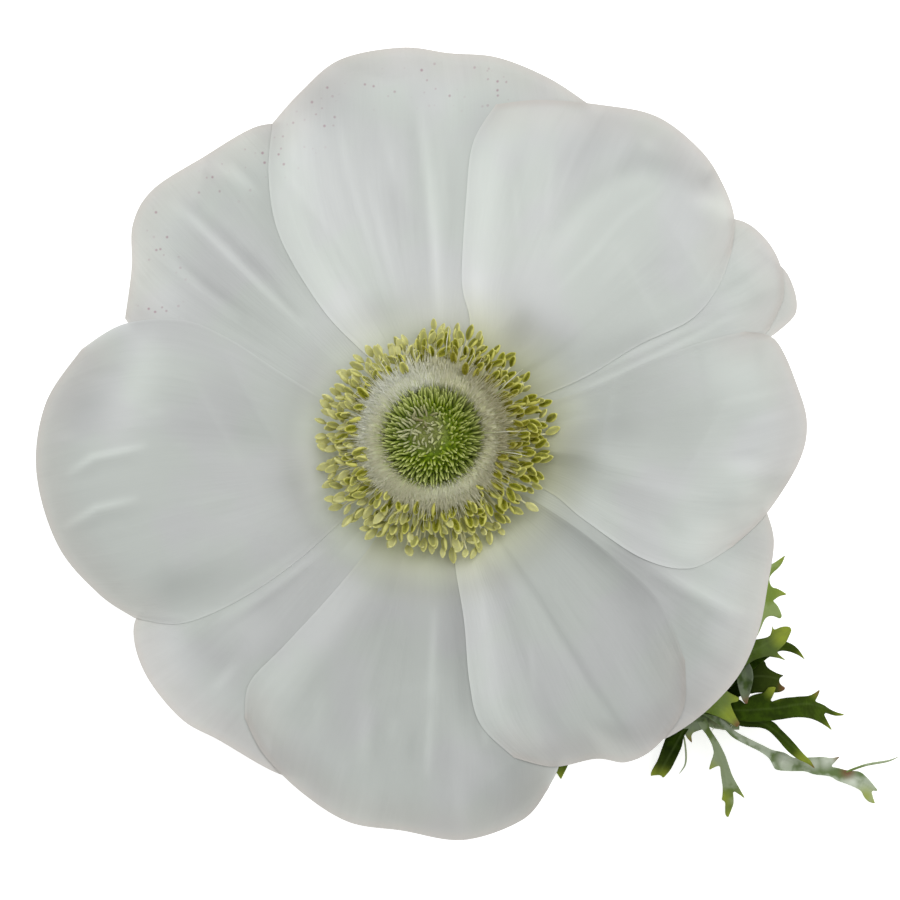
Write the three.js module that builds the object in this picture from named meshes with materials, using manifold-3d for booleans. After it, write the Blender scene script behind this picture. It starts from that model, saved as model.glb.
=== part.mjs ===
// A cut anemone flower, in millimetres, +Z up.
// It lies on a surface as picked. The bloom faces up and leans back a little, the stem bends under it
// and runs along the surface to a whorl of three leafy bracts, and the rims of two petals touch down.

import * as THREE from "three";
import { mergeVertices } from "three/addons/utils/BufferGeometryUtils.js";
import Module from "manifold-3d";

const wasm = await Module();
wasm.setup();

// Driving dimensions

// Middle of the bloom in plan, so that the origin is below the middle of the whole flower.
const BLOOM_CENTRE = new THREE.Vector3(-3.6, -0.2, 0);
// The top of the receptacle stands this high, and its axis leans towards this azimuth.
const RECEPTACLE_TOP = 13.5;
const LEAN = THREE.MathUtils.degToRad(13);
const LEAN_AZIMUTH = 113;
// Pieces that touch in the real flower keep this much air between them.
const SEAT_GAP = 0.35;

const PETAL_THICKNESS = 0.65;
const PETAL_LAYER_STEP = 1.05;
const PETAL_TOP_LAYER = 2;
const PETAL_BASE_REACH = 6.7;
const PETAL_BASE_HALF_ANGLE = 20;
const PETAL_ROWS = 8;
const PETAL_COLUMNS = 12;
// A petal's sides end at its shoulders, where the outline reaches this share of the petal's full reach.
const PETAL_SHOULDER_SHARE = 0.84;
// The petals rise into a shallow bowl on the side away from the lean.
const BOWL_RISE = 3.5;
const BOWL_START = 8;
const BOWL_END = 30;
const SWELL_START = 14;
const SWELL_END = 38;

const STEM_RADIUS = 2.0;
const STEM_SIDES = 12;
const STEM_STEPS = 20;
const RECEPTACLE_RADIUS = 6.0;
const RECEPTACLE_DEPTH = 3.2;

const BOSS_RADIUS = 4.6;
const BOSS_HEIGHT = 6.2;
const STYLE_COUNT = 120;
const STYLE_LENGTH = 2.0;
const STYLE_RADIUS = 0.36;
const HAIR_COUNT = 40;
const HAIR_REACH = 8.7;
const HAIR_TIP_HEIGHT = 6.6;

const COLLAR_INNER = 4.95;
const COLLAR_OUTER = 6.3;
const COLLAR_HEIGHT = 1.0;
const FILAMENT_RADIUS = 0.3;
const ANTHER_LENGTH = 1.8;
const ANTHER_WIDTH = 0.9;

const BRACT_THICKNESS = 0.65;
const BRACT_KEEL = 0.25;
// The foot of a tooth lies a little lower than its lobe, so that their faces cross cleanly.
const TOOTH_SINK = 0.15;

const GOLDEN_ANGLE = Math.PI * (3 - Math.sqrt(5));

// Petals. Each rim is a smooth curve through points of [azimuth in degrees, reach in mm] around the
// bloom, counterclockwise. A higher layer lies on the lower ones.
const PETALS = [
  {
    name: "petal_north", layer: 1, axis: 93,
    rim: [[56, 14.5], [57, 26.5], [60, 37.5], [66, 43], [73, 44.2], [81, 45.2], [88, 45.2], [95, 46], [104, 45.8],
      [111, 43.6], [117, 41.6], [122, 36.5], [127, 30], [130, 21], [129, 14.5]],
  },
  {
    name: "petal_northeast", layer: 2, axis: 49,
    rim: [[24, 17.5], [26, 26], [26, 32.5], [29, 37], [33, 40.5], [37, 43], [42, 44.5], [48, 45.5], [56, 45.5],
      [64, 43.5], [73, 41.5], [80, 39.8], [83, 35], [83, 28.5], [81, 19], [74, 14]],
  },
  {
    name: "petal_east_northeast", layer: 1, axis: 30,
    rim: [[18, 20], [18, 29.5], [16, 36], [19, 40.5], [23, 43.4], [28, 44.7], [33, 44.5], [37, 43], [41, 39],
      [43, 29], [43, 19.5]],
  },
  {
    name: "petal_east_northeast_back", layer: 0, axis: 26,
    rim: [[16, 18], [14, 28], [16, 36], [18, 41], [20, 44], [24, 44.9], [28, 44.4], [34, 41.5], [37, 30], [36, 18]],
  },
  {
    name: "petal_east", layer: 2, axis: 358,
    rim: [[337, 14], [333, 19], [331, 27], [334, 32.5], [341, 36], [348, 38.7], [357, 41.6], [363, 42.6], [369, 42],
      [377, 40.8], [380, 37.8], [381, 32.5], [381, 25], [380, 20], [380, 14]],
  },
  {
    name: "petal_southeast_back", layer: 0, axis: 328,
    rim: [[306, 16.5], [304, 26], [302, 36], [305, 42.2], [310, 43], [316, 43.5], [323, 43.6], [330, 42.7], [337, 41.3],
      [344, 40.3], [349, 38.5], [350, 31], [351, 19]],
  },
  {
    name: "petal_southeast", layer: 2, axis: 306,
    rim: [[279, 13.5], [279, 20.5], [278, 27.5], [279, 32.5], [284, 37], [290, 39.3], [297, 40.4], [301, 42.4],
      [306, 42.8], [313, 41.5], [319, 37.8], [325, 31], [328, 22.5], [330, 14]],
  },
  {
    name: "petal_south", layer: 1, axis: 262,
    rim: [[237, 15], [235, 21.5], [233, 29], [232, 34.7], [235, 38.3], [241, 40.7], [249, 42.8], [257, 44.4],
      [265, 44.4], [274, 45.4], [283, 44.1], [288, 41.5], [292, 38], [294, 29.7], [292, 19.5], [287, 13.5]],
  },
  {
    name: "petal_southwest", layer: 0, axis: 230,
    rim: [[209, 18], [210, 29], [208, 36.5], [211, 40.5], [218, 42.5], [227, 43], [234, 42.1], [244, 41.9],
      [250, 41], [250, 36], [248, 26.5], [248, 15.5]],
  },
  {
    name: "petal_west", layer: 1, axis: 188,
    rim: [[159, 12.5], [155, 20], [153, 27], [154, 32.7], [159, 38.6], [165, 42.3], [174, 45.2], [184, 46.1],
      [195, 45], [204, 42.4], [210, 40], [215, 36], [218, 30], [220, 22], [219, 13.5]],
  },
  {
    name: "petal_northwest", layer: 0, axis: 141,
    rim: [[116, 13.5], [115, 26], [113, 36], [115, 40.9], [120, 42.2], [129, 42.7], [138, 44], [144, 43.3],
      [150, 40.6], [158, 38.7], [162, 34], [163, 24], [166, 13.5]],
  },
];

// Broad swells of the bloom between two azimuths, with the height of the middle. The first two droop
// until the rims of the north and northwest petals touch the surface.
const SWELLS = [
  [70, 118, -3.4],
  [118, 164, -3.5],
  [164, 214, 1.0],
  [236, 279, 0.8],
  [281, 329, 1.0],
  [333, 381, 1.0],
  [384, 430, 0.8],
];

// Stamens stand in tiers: number, reach of the anther, its height above the receptacle.
const STAMEN_TIERS = [
  { count: 22, reach: 9.5, height: 4.6 },
  { count: 28, reach: 11.2, height: 3.7 },
  { count: 34, reach: 12.9, height: 2.5 },
];

// Course of the stem, from its cut end to just below the receptacle, around the middle of the bloom.
const STEM_AXIS_HEIGHT = STEM_RADIUS * Math.cos(Math.PI / STEM_SIDES);
const STEM_COURSE = [
  [35.0, -31.0, STEM_AXIS_HEIGHT],
  [30.5, -29.9, STEM_AXIS_HEIGHT],
  [20, -20.5, STEM_AXIS_HEIGHT],
  [10.5, -11.5, STEM_AXIS_HEIGHT + 0.3],
  [5.2, -6.8, STEM_AXIS_HEIGHT + 1.6],
];

// Bracts. A lobe is a narrow blade from its root over a bend to its tip. A tooth leaves its lobe at a
// fraction of the length and ends at its own tip.
const BRACTS = [
  {
    name: "bract_east",
    lobes: [
      {
        root: [29.9, -30.1, 4.8], bend: [38.4, -30.4, 6.2], tip: [47.4, -31.2, 0.8], width: 3.0,
        teeth: [
          { at: 0.62, tip: [44.4, -28.1, 1.6], width: 1.3 },
          { at: 0.68, tip: [45.6, -33.2, 0.9], width: 1.3 },
          { at: 0.3, tip: [43.5, -37.4, 0.4], width: 1.7 },
        ],
      },
      {
        root: [30.6, -30.6, 4.9], bend: [37.3, -36.2, 6.0], tip: [47.4, -37.0, 0.6], width: 1.8,
        teeth: [
          { at: 0.86, tip: [46.6, -35.6, 0.6], width: 1.0 },
          { at: 0.9, tip: [50.7, -40.1, 0.3], width: 1.5 },
          { at: 0.9, tip: [53.2, -36.2, 0.4], width: 0.8 },
          { at: 0.95, tip: [49.7, -41.4, 0.4], width: 1.0 },
        ],
      },
    ],
  },
  {
    name: "bract_north",
    lobes: [
      {
        root: [29.4, -27.2, 4.9], bend: [36.6, -24.0, 9.6], tip: [40.1, -12.9, 8.0], width: 2.6,
        teeth: [
          { at: 0.72, tip: [40.6, -17.3, 7.6], width: 1.8 },
          { at: 0.6, tip: [39.9, -19.7, 7.2], width: 2.0 },
          { at: 0.42, tip: [40.8, -21.3, 7.6], width: 2.6 },
          { at: 0.36, tip: [42.7, -24.8, 6.4], width: 2.0 },
          { at: 0.22, tip: [40.1, -28.2, 6.0], width: 2.6 },
          { at: 0.3, tip: [35.7, -30.2, 8.6], width: 1.8 },
          { at: 0.12, tip: [34.8, -32.6, 6.5], width: 3.8 },
        ],
      },
    ],
  },
  {
    name: "bract_south",
    lobes: [
      {
        root: [29.0, -33.0, 2.8], bend: [27.4, -35.0, 3.4], tip: [25.3, -38.6, 0.3], width: 2.2,
        teeth: [{ at: 0.6, tip: [24.2, -38.0, 0.3], width: 1.1 }],
      },
      { root: [29.2, -32.8, 3.0], bend: [17.0, -31.5, 4.5], tip: [13.6, -38.3, 0.3], width: 1.8, teeth: [] },
      {
        root: [28.8, -32.8, 2.9], bend: [32.8, -34.0, 4.6], tip: [33.7, -43.1, 0.3], width: 1.7,
        teeth: [
          { at: 0.55, tip: [31.2, -37.6, 1.4], width: 1.2 },
          { at: 0.62, tip: [35.6, -40.8, 0.6], width: 1.2 },
          { at: 0.7, tip: [32.7, -40.9, 0.5], width: 0.9 },
          { at: 0.1, tip: [28.2, -37.8, 0.8], width: 0.8 },
        ],
      },
    ],
  },
];
const LOBE_STEPS = 6;
const TOOTH_STEPS = 3;

// Materials

function plant(color, roughness) {
  return new THREE.MeshStandardMaterial({ color, roughness, metalness: 0 });
}

const petalWhite = plant(0xe7eae3, 0.6);
const pistilGreen = plant(0x83903a, 0.75);
const antherGreen = plant(0xa3a24c, 0.7);
const leafGreen = plant(0x3f5a24, 0.65);
const stemGreen = plant(0x6c7f45, 0.6);

// Helpers

function seededRandom(seed) {
  let state = seed;
  return () => {
    state = (state * 1664525 + 1013904223) % 4294967296;
    return state / 4294967296;
  };
}

function polar(azimuth, reach) {
  const angle = THREE.MathUtils.degToRad(azimuth);
  return new THREE.Vector2(reach * Math.cos(angle), reach * Math.sin(angle));
}

// A closed solid from a geometry, with its shared corners merged and collapsed triangles dropped.
function solidFrom(geometry) {
  const bare = geometry.clone();
  bare.deleteAttribute("normal");
  bare.deleteAttribute("uv");
  const merged = mergeVertices(bare, 1e-5);
  const corners = merged.index.array;
  const triangles = [];
  for (let i = 0; i < corners.length; i += 3) {
    const [a, b, c] = corners.slice(i, i + 3);
    if (a !== b && b !== c && c !== a) {
      triangles.push(a, b, c);
    }
  }
  return new wasm.Manifold(new wasm.Mesh({
    numProp: 3,
    vertProperties: new Float32Array(merged.attributes.position.array),
    triVerts: new Uint32Array(triangles),
  }));
}

function geometryFrom(solid) {
  const mesh = solid.getMesh();
  const geometry = new THREE.BufferGeometry();
  geometry.setAttribute("position", new THREE.BufferAttribute(mesh.vertProperties, 3));
  geometry.setIndex(new THREE.BufferAttribute(mesh.triVerts, 1));
  geometry.computeVertexNormals();
  return geometry;
}

function fuse(geometries) {
  const solids = geometries.map(solidFrom);
  return geometryFrom(solids.reduce((whole, piece) => whole.add(piece)));
}

function named(name, geometry, material) {
  const mesh = new THREE.Mesh(geometry, material);
  mesh.name = name;
  return mesh;
}

// A blade from rows of points on its underside. Both faces are split into triangles alike, and
// columns run counterclockwise, seen from above, as rows go outwards.
function blade(rows, thickness) {
  const across = rows[0].length;
  const underside = rows.flat();
  const positions = [];
  for (const lift of [thickness, 0]) {
    for (const point of underside) {
      positions.push(point.x, point.y, point.z + lift);
    }
  }
  const below = underside.length;
  const index = [];
  for (let i = 0; i + 1 < rows.length; i += 1) {
    for (let j = 0; j + 1 < across; j += 1) {
      const a = i * across + j;
      const b = a + across;
      index.push(a, b, b + 1, a, b + 1, a + 1);
      index.push(below + a, below + b + 1, below + b, below + a, below + a + 1, below + b + 1);
    }
  }
  const last = rows.length - 1;
  const border = [];
  for (let i = 0; i < last; i += 1) border.push(i * across);
  for (let j = 0; j < across - 1; j += 1) border.push(last * across + j);
  for (let i = last; i > 0; i -= 1) border.push(i * across + across - 1);
  for (let j = across - 1; j > 0; j -= 1) border.push(j);
  border.forEach((from, k) => {
    const to = border[(k + 1) % border.length];
    index.push(below + from, below + to, to, below + from, to, from);
  });
  const geometry = new THREE.BufferGeometry();
  geometry.setAttribute("position", new THREE.Float32BufferAttribute(positions, 3));
  geometry.setIndex(index);
  geometry.computeVertexNormals();
  return geometry;
}

// Petals

// Height of the middle of the bloom's surface over the plan, before the layers part.
function bloomHeight(x, y) {
  const reach = Math.hypot(x, y);
  const azimuth = (THREE.MathUtils.radToDeg(Math.atan2(y, x)) + 360) % 360;
  const fromLean = THREE.MathUtils.degToRad(azimuth - LEAN_AZIMUTH);
  let height = RECEPTACLE_TOP - Math.tan(LEAN) * reach * Math.cos(fromLean);
  const awayFromLean = (1 - Math.cos(fromLean)) / 2;
  height += BOWL_RISE * awayFromLean * THREE.MathUtils.smoothstep(reach, BOWL_START, BOWL_END);
  const outwards = THREE.MathUtils.smoothstep(reach, SWELL_START, SWELL_END);
  for (const [from, to, swell] of SWELLS) {
    const along = THREE.MathUtils.euclideanModulo(azimuth - from, 360) / (to - from);
    if (along < 1) {
      height += swell * outwards * Math.sin(Math.PI * along) ** 2;
    }
  }
  return height;
}

// A petal lies between a short arc beside the receptacle, its two sides and its outer rim. Each point
// of the grid blends these four edges, so that rows run across the petal and columns along its veins.
function petalGeometry({ layer, axis, rim }) {
  const outline = rim.map(([azimuth, reach]) => polar(azimuth, reach));
  const shoulderReach = PETAL_SHOULDER_SHARE * Math.max(...rim.map(([, reach]) => reach));
  const first = rim.findIndex(([, reach]) => reach >= shoulderReach);
  const last = rim.findLastIndex(([, reach]) => reach >= shoulderReach);
  const base = [];
  for (let j = 0; j <= PETAL_COLUMNS; j += 1) {
    const turn = PETAL_BASE_HALF_ANGLE * (2 * j / PETAL_COLUMNS - 1);
    base.push(polar(axis + turn, PETAL_BASE_REACH));
  }
  const spaced = (points, steps) => new THREE.SplineCurve(points).getSpacedPoints(steps);
  const firstSide = spaced([base[0], ...outline.slice(0, first + 1)], PETAL_ROWS);
  const lastSide = spaced([base[PETAL_COLUMNS], ...outline.slice(last).reverse()], PETAL_ROWS);
  const outer = spaced(outline.slice(first, last + 1), PETAL_COLUMNS);

  const drop = PETAL_THICKNESS + (PETAL_TOP_LAYER - layer) * PETAL_LAYER_STEP;
  const rows = [];
  for (let i = 0; i <= PETAL_ROWS; i += 1) {
    const outwards = i / PETAL_ROWS;
    rows.push(base.map((basePoint, j) => {
      const across = j / PETAL_COLUMNS;
      const inner = base[0].clone().lerp(base[PETAL_COLUMNS], across);
      const corners = outer[0].clone().lerp(outer[PETAL_COLUMNS], across).lerp(inner, 1 - outwards);
      const point = basePoint.clone().lerp(outer[j], outwards);
      point.add(firstSide[i].clone().lerp(lastSide[i], across)).sub(corners);
      const underside = Math.max(bloomHeight(point.x, point.y) - drop, 0);
      return new THREE.Vector3(point.x, point.y, underside);
    }));
  }
  return blade(rows, PETAL_THICKNESS);
}

// Stem and receptacle

function stemGeometry() {
  const leanDirection = polar(LEAN_AZIMUTH, 1);
  const axis = new THREE.Vector3(
    Math.sin(LEAN) * leanDirection.x,
    Math.sin(LEAN) * leanDirection.y,
    Math.cos(LEAN),
  );
  const top = new THREE.Vector3(0, 0, RECEPTACLE_TOP);
  const below = (depth) => top.clone().addScaledVector(axis, -depth);
  const course = STEM_COURSE.map((point) => new THREE.Vector3(...point));
  course.push(below(7.6), below(RECEPTACLE_DEPTH + 1.2));
  const curve = new THREE.CatmullRomCurve3(course, false, "centripetal");
  const rings = [];
  for (let i = 0; i <= STEM_STEPS; i += 1) {
    const along = i / STEM_STEPS;
    rings.push({ centre: curve.getPointAt(along), along: curve.getTangentAt(along), radius: STEM_RADIUS });
  }
  rings.push({ centre: below(RECEPTACLE_DEPTH), along: axis, radius: STEM_RADIUS * 1.9 });
  rings.push({ centre: below(RECEPTACLE_DEPTH - 0.5), along: axis, radius: RECEPTACLE_RADIUS });
  rings.push({ centre: top, along: axis, radius: RECEPTACLE_RADIUS });

  const positions = [];
  const up = new THREE.Vector3(0, 0, 1);
  for (const ring of rings) {
    const side = new THREE.Vector3().crossVectors(up, ring.along).normalize();
    const back = new THREE.Vector3().crossVectors(ring.along, side);
    for (let k = 0; k < STEM_SIDES; k += 1) {
      const angle = (2 * Math.PI * (k + 0.5)) / STEM_SIDES - Math.PI / 2;
      const corner = ring.centre.clone();
      corner.addScaledVector(side, ring.radius * Math.cos(angle));
      corner.addScaledVector(back, ring.radius * Math.sin(angle));
      positions.push(corner.x, corner.y, Math.max(corner.z, 0));
    }
  }
  const index = [];
  const lastRing = (rings.length - 1) * STEM_SIDES;
  for (let ring = 0; ring < lastRing; ring += STEM_SIDES) {
    for (let k = 0; k < STEM_SIDES; k += 1) {
      const next = (k + 1) % STEM_SIDES;
      const [a, b] = [ring + k, ring + next];
      index.push(a, b, b + STEM_SIDES, a, b + STEM_SIDES, a + STEM_SIDES);
    }
  }
  for (let k = 1; k + 1 < STEM_SIDES; k += 1) {
    index.push(0, k + 1, k);
    index.push(lastRing, lastRing + k, lastRing + k + 1);
  }
  const geometry = new THREE.BufferGeometry();
  geometry.setAttribute("position", new THREE.Float32BufferAttribute(positions, 3));
  geometry.setIndex(index);
  geometry.computeVertexNormals();
  return geometry;
}

// Pistil head and stamens, in the leaning frame of the receptacle

// Moves a geometry that points along +Y so that it starts at a point and follows a direction.
function aim(geometry, start, direction) {
  const turn = new THREE.Quaternion().setFromUnitVectors(
    new THREE.Vector3(0, 1, 0),
    direction.clone().normalize(),
  );
  geometry.applyQuaternion(turn);
  geometry.translate(start.x, start.y, start.z);
  return geometry;
}

// A round solid about +Z from its outline of [radius, height], from the bottom up.
function turned(outline, sides) {
  const geometry = new THREE.LatheGeometry(outline.map(([r, z]) => new THREE.Vector2(r, z)), sides);
  geometry.rotateX(Math.PI / 2);
  return geometry;
}

function pistilGeometry() {
  const domeSteps = 5;
  const waist = SEAT_GAP + COLLAR_HEIGHT;
  const outline = [[0, SEAT_GAP], [BOSS_RADIUS, SEAT_GAP]];
  for (let i = 0; i <= domeSteps; i += 1) {
    const angle = (Math.PI / 2) * (i / domeSteps);
    outline.push([BOSS_RADIUS * Math.cos(angle), waist + (BOSS_HEIGHT - waist) * Math.sin(angle)]);
  }
  outline[outline.length - 1][0] = 0;
  const pieces = [turned(outline, 16)];
  const middle = new THREE.Vector3(0, 0, waist);
  for (let i = 0; i < STYLE_COUNT; i += 1) {
    // Even cover of the upper dome, from the apex down to its shoulder.
    const rise = 1 - 0.86 * ((i + 0.5) / STYLE_COUNT);
    const flat = Math.sqrt(1 - rise * rise);
    const turn = i * GOLDEN_ANGLE;
    const outwards = new THREE.Vector3(flat * Math.cos(turn), flat * Math.sin(turn), rise);
    const root = outwards.clone().multiply(new THREE.Vector3(BOSS_RADIUS, BOSS_RADIUS, BOSS_HEIGHT - waist));
    root.multiplyScalar(0.88).add(middle);
    const style = new THREE.ConeGeometry(STYLE_RADIUS, STYLE_LENGTH, 3);
    style.translate(0, STYLE_LENGTH / 2, 0);
    pieces.push(aim(style, root, outwards));
  }
  for (let i = 0; i < HAIR_COUNT; i += 1) {
    const turn = (2 * Math.PI * i) / HAIR_COUNT;
    const direction = new THREE.Vector3(Math.cos(turn), Math.sin(turn), 0);
    const root = direction.clone().multiplyScalar(BOSS_RADIUS * 0.7).setZ(waist + 1.6);
    const tip = direction.clone().multiplyScalar(HAIR_REACH).setZ(HAIR_TIP_HEIGHT);
    const along = tip.sub(root);
    const length = along.length();
    const hair = new THREE.ConeGeometry(STYLE_RADIUS, length, 3);
    hair.translate(0, length / 2, 0);
    pieces.push(aim(hair, root, along));
  }
  return fuse(pieces);
}

function stamenGeometry() {
  const random = seededRandom(11);
  const collar = turned([
    [COLLAR_INNER, SEAT_GAP],
    [COLLAR_OUTER, SEAT_GAP],
    [COLLAR_OUTER, SEAT_GAP + COLLAR_HEIGHT],
    [COLLAR_INNER, SEAT_GAP + COLLAR_HEIGHT],
    [COLLAR_INNER, SEAT_GAP],
  ], 24);
  const pieces = [collar];
  for (const { count, reach, height } of STAMEN_TIERS) {
    for (let i = 0; i < count; i += 1) {
      const turn = (2 * Math.PI * (i + 0.5 * random())) / count;
      const out = new THREE.Vector3(Math.cos(turn), Math.sin(turn), 0);
      const root = out.clone().multiplyScalar((COLLAR_INNER + COLLAR_OUTER) / 2);
      root.z = SEAT_GAP + COLLAR_HEIGHT * 0.6;
      const anther = out.clone().multiplyScalar(reach + 0.9 * (random() - 0.5));
      anther.z = height + 0.5 * (random() - 0.5);
      const along = anther.clone().sub(root);
      const length = along.length();
      const filament = new THREE.CylinderGeometry(FILAMENT_RADIUS, FILAMENT_RADIUS * 1.2, length, 3);
      filament.translate(0, length / 2, 0);
      pieces.push(aim(filament, root, along));
      const sac = new THREE.OctahedronGeometry(0.5, 0);
      sac.scale(ANTHER_WIDTH, ANTHER_LENGTH, ANTHER_WIDTH);
      pieces.push(aim(sac, anther, along));
    }
  }
  return fuse(pieces);
}

// Bracts

// Half the width of a lobe along its length: a narrow foot, a full middle and a pointed end.
function lobeHalfWidth(width, along) {
  const foot = 0.75 + 0.25 * THREE.MathUtils.smoothstep(along, 0, 0.5);
  const point = along < 0.6 ? 1 : 1 - 0.9 * ((along - 0.6) / 0.4) ** 1.3;
  return (width / 2) * foot * point;
}

function lobeGeometry(curve, width, steps) {
  const up = new THREE.Vector3(0, 0, 1);
  const rows = [];
  for (let i = 0; i <= steps; i += 1) {
    const along = i / steps;
    const middle = curve.getPoint(along);
    middle.z = Math.max(middle.z - BRACT_THICKNESS / 2, 0);
    const left = new THREE.Vector3().crossVectors(up, curve.getTangent(along)).normalize();
    const half = lobeHalfWidth(width, along);
    rows.push([-1, 0, 1].map((side) => {
      const point = middle.clone().addScaledVector(left, side * half);
      point.z += Math.abs(side) * BRACT_KEEL * (half / (width / 2));
      return point;
    }));
  }
  return blade(rows, BRACT_THICKNESS);
}

function bractGeometry({ lobes }) {
  const pieces = [];
  for (const { root, bend, tip, width, teeth } of lobes) {
    const curve = new THREE.QuadraticBezierCurve3(
      new THREE.Vector3(...root),
      new THREE.Vector3(...bend),
      new THREE.Vector3(...tip),
    );
    pieces.push(lobeGeometry(curve, width, LOBE_STEPS));
    for (const tooth of teeth) {
      const start = curve.getPoint(tooth.at);
      start.z -= TOOTH_SINK;
      const end = new THREE.Vector3(...tooth.tip);
      // A tooth leaves along its lobe before it turns to its own tip.
      const leaving = curve.getTangent(tooth.at).multiplyScalar(0.35 * start.distanceTo(end));
      const side = new THREE.QuadraticBezierCurve3(start, start.clone().add(leaving), end);
      pieces.push(lobeGeometry(side, tooth.width, TOOTH_STEPS));
    }
  }
  return fuse(pieces);
}

// The whole flower

const flower = new THREE.Group();
flower.position.copy(BLOOM_CENTRE);

flower.add(named("stem", stemGeometry(), stemGreen));

for (const petal of PETALS) {
  flower.add(named(petal.name, petalGeometry(petal), petalWhite));
}

const heart = new THREE.Group();
const leanAxis = polar(LEAN_AZIMUTH + 90, 1);
heart.position.set(0, 0, RECEPTACLE_TOP);
heart.quaternion.setFromAxisAngle(new THREE.Vector3(leanAxis.x, leanAxis.y, 0), LEAN);
heart.add(named("pistil_head", pistilGeometry(), pistilGreen));
heart.add(named("stamens", stamenGeometry(), antherGreen));
flower.add(heart);

for (const bract of BRACTS) {
  flower.add(named(bract.name, bractGeometry(bract), leafGreen));
}

export default flower;
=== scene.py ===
# %% [markdown]
# # A white anemone, lying as it was picked
# A semi-double garden anemone seen from straight above: eleven silky petals in three layers, a furry
# green pistil head, a ring of stamens, and below the bloom a bent stem with three cut, toothed bracts.
# The CAD frame holds plain closed solids for these pieces. Each one is replaced here by a finer piece
# that keeps its place and form. We start with the frame, because everything is placed against it.

# %% Load the frame
import math
import random

import bpy
import numpy as np
from mathutils import Matrix, Vector, noise
from mathutils.bvhtree import BVHTree


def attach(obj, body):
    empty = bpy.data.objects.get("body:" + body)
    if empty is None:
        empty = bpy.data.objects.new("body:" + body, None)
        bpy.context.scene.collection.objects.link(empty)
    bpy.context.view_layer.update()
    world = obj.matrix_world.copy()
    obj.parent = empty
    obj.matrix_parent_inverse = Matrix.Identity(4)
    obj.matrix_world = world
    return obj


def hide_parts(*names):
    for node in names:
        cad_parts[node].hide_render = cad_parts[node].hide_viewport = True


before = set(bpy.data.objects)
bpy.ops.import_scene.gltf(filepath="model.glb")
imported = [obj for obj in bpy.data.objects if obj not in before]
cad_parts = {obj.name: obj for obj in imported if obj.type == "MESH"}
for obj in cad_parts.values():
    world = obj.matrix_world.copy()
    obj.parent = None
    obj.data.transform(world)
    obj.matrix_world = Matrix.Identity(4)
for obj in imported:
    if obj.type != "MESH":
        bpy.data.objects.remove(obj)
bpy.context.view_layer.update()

# %% [markdown]
# ## Sizes that every piece shares
# The flower is drawn in millimetres around the middle of its bloom, as a botanist would measure it, and
# every point is turned into the frame's metres at the end. The bloom leans 13 degrees, so its heart
# has a frame of its own in which +Z is the axis of the flower.

# %% Shared sizes
MM = 0.001
BLOOM_CENTRE = Vector((-3.6, -0.2, 0))
RECEPTACLE_TOP = 13.5
LEAN = math.radians(13)
LEAN_AZIMUTH = 113


def polar(azimuth, reach):
    """A point in plan, from its azimuth in degrees and its reach from the middle of the bloom."""
    angle = math.radians(azimuth)
    return (reach * math.cos(angle), reach * math.sin(angle))


lean_axis = Vector((*polar(LEAN_AZIMUTH + 90, 1), 0))
flower_frame = Matrix.Scale(MM, 4) @ Matrix.Translation(BLOOM_CENTRE)
heart_frame = (
    flower_frame @ Matrix.Translation((0, 0, RECEPTACLE_TOP)) @ Matrix.Rotation(LEAN, 4, lean_axis)
)
print("heart axis:", [round(c, 3) for c in heart_frame.to_3x3().col[2].normalized()])

# %% [markdown]
# ## Camera
# The photograph looks straight down into the bloom from far away, so nearby and distant petals have
# nearly the same scale. A long lens high above the flower does the same. The frame of 900 pixels takes in
# 103.5 mm at the height of the petals.

# %% Camera
PHOTO_SIDE = 900
PHOTO_MM_PER_PIXEL = 0.115
BLOOM_PIXEL = (436, 444)
CAMERA_HEIGHT = 2500
PETAL_HEIGHT = 12
SENSOR = 36
SIGHT_IN_METRES = 10


def from_photo(pixel, height=PETAL_HEIGHT):
    """A point in plan around the middle of the bloom, in mm, that the camera sees at a pixel."""
    middle = PHOTO_SIDE / 2
    nearer = (CAMERA_HEIGHT - height) / (CAMERA_HEIGHT - PETAL_HEIGHT)
    x = middle - BLOOM_PIXEL[0] + (pixel[0] - middle) * nearer
    y = BLOOM_PIXEL[1] - middle - (pixel[1] - middle) * nearer
    return np.array((x, y)) * PHOTO_MM_PER_PIXEL


aim_x, aim_y = from_photo((PHOTO_SIDE / 2, PHOTO_SIDE / 2))
bpy.ops.object.camera_add(location=flower_frame @ Vector((aim_x, aim_y, CAMERA_HEIGHT)), rotation=(0, 0, 0))
camera = bpy.context.object
camera.name = "camera"
camera.data.sensor_width = SENSOR
camera.data.lens = SENSOR * (CAMERA_HEIGHT - PETAL_HEIGHT) / (PHOTO_SIDE * PHOTO_MM_PER_PIXEL)
camera.data.clip_end = SIGHT_IN_METRES
bpy.context.scene.camera = camera
print("lens:", round(camera.data.lens), "mm at", CAMERA_HEIGHT, "mm")

# %% [markdown]
# ## Helpers for materials
# A material is a small network of nodes. These helpers add a node or two and give back the output, so
# that a finish below reads like a recipe: take a value, reshape it, mix two colours by it. Plain numbers
# in a recipe say between which values a soft step runs, and how strong a tint is at most.

# %% Helpers for materials


def feed(tree, node, inputs):
    """Feeds a node's inputs, by name or number: an output is linked, anything else is set."""
    for name, value in inputs.items():
        socket = node.inputs[name]
        if isinstance(value, bpy.types.NodeSocket):
            tree.links.new(value, socket)
        elif socket.type == "RGBA":
            socket.default_value = (*value, 1)
        else:
            socket.default_value = value
    return node


def calc(tree, operation, first, second):
    """One step of arithmetic on two values."""
    node = tree.nodes.new("ShaderNodeMath")
    node.operation = operation
    return feed(tree, node, {0: first, 1: second}).outputs[0]


def ease(tree, value, start, end):
    """A soft step: 0 where the value is start, 1 where it is end."""
    node = tree.nodes.new("ShaderNodeMapRange")
    node.interpolation_type = "SMOOTHSTEP"
    return feed(tree, node, {"Value": value, "From Min": start, "From Max": end}).outputs["Result"]


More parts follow.
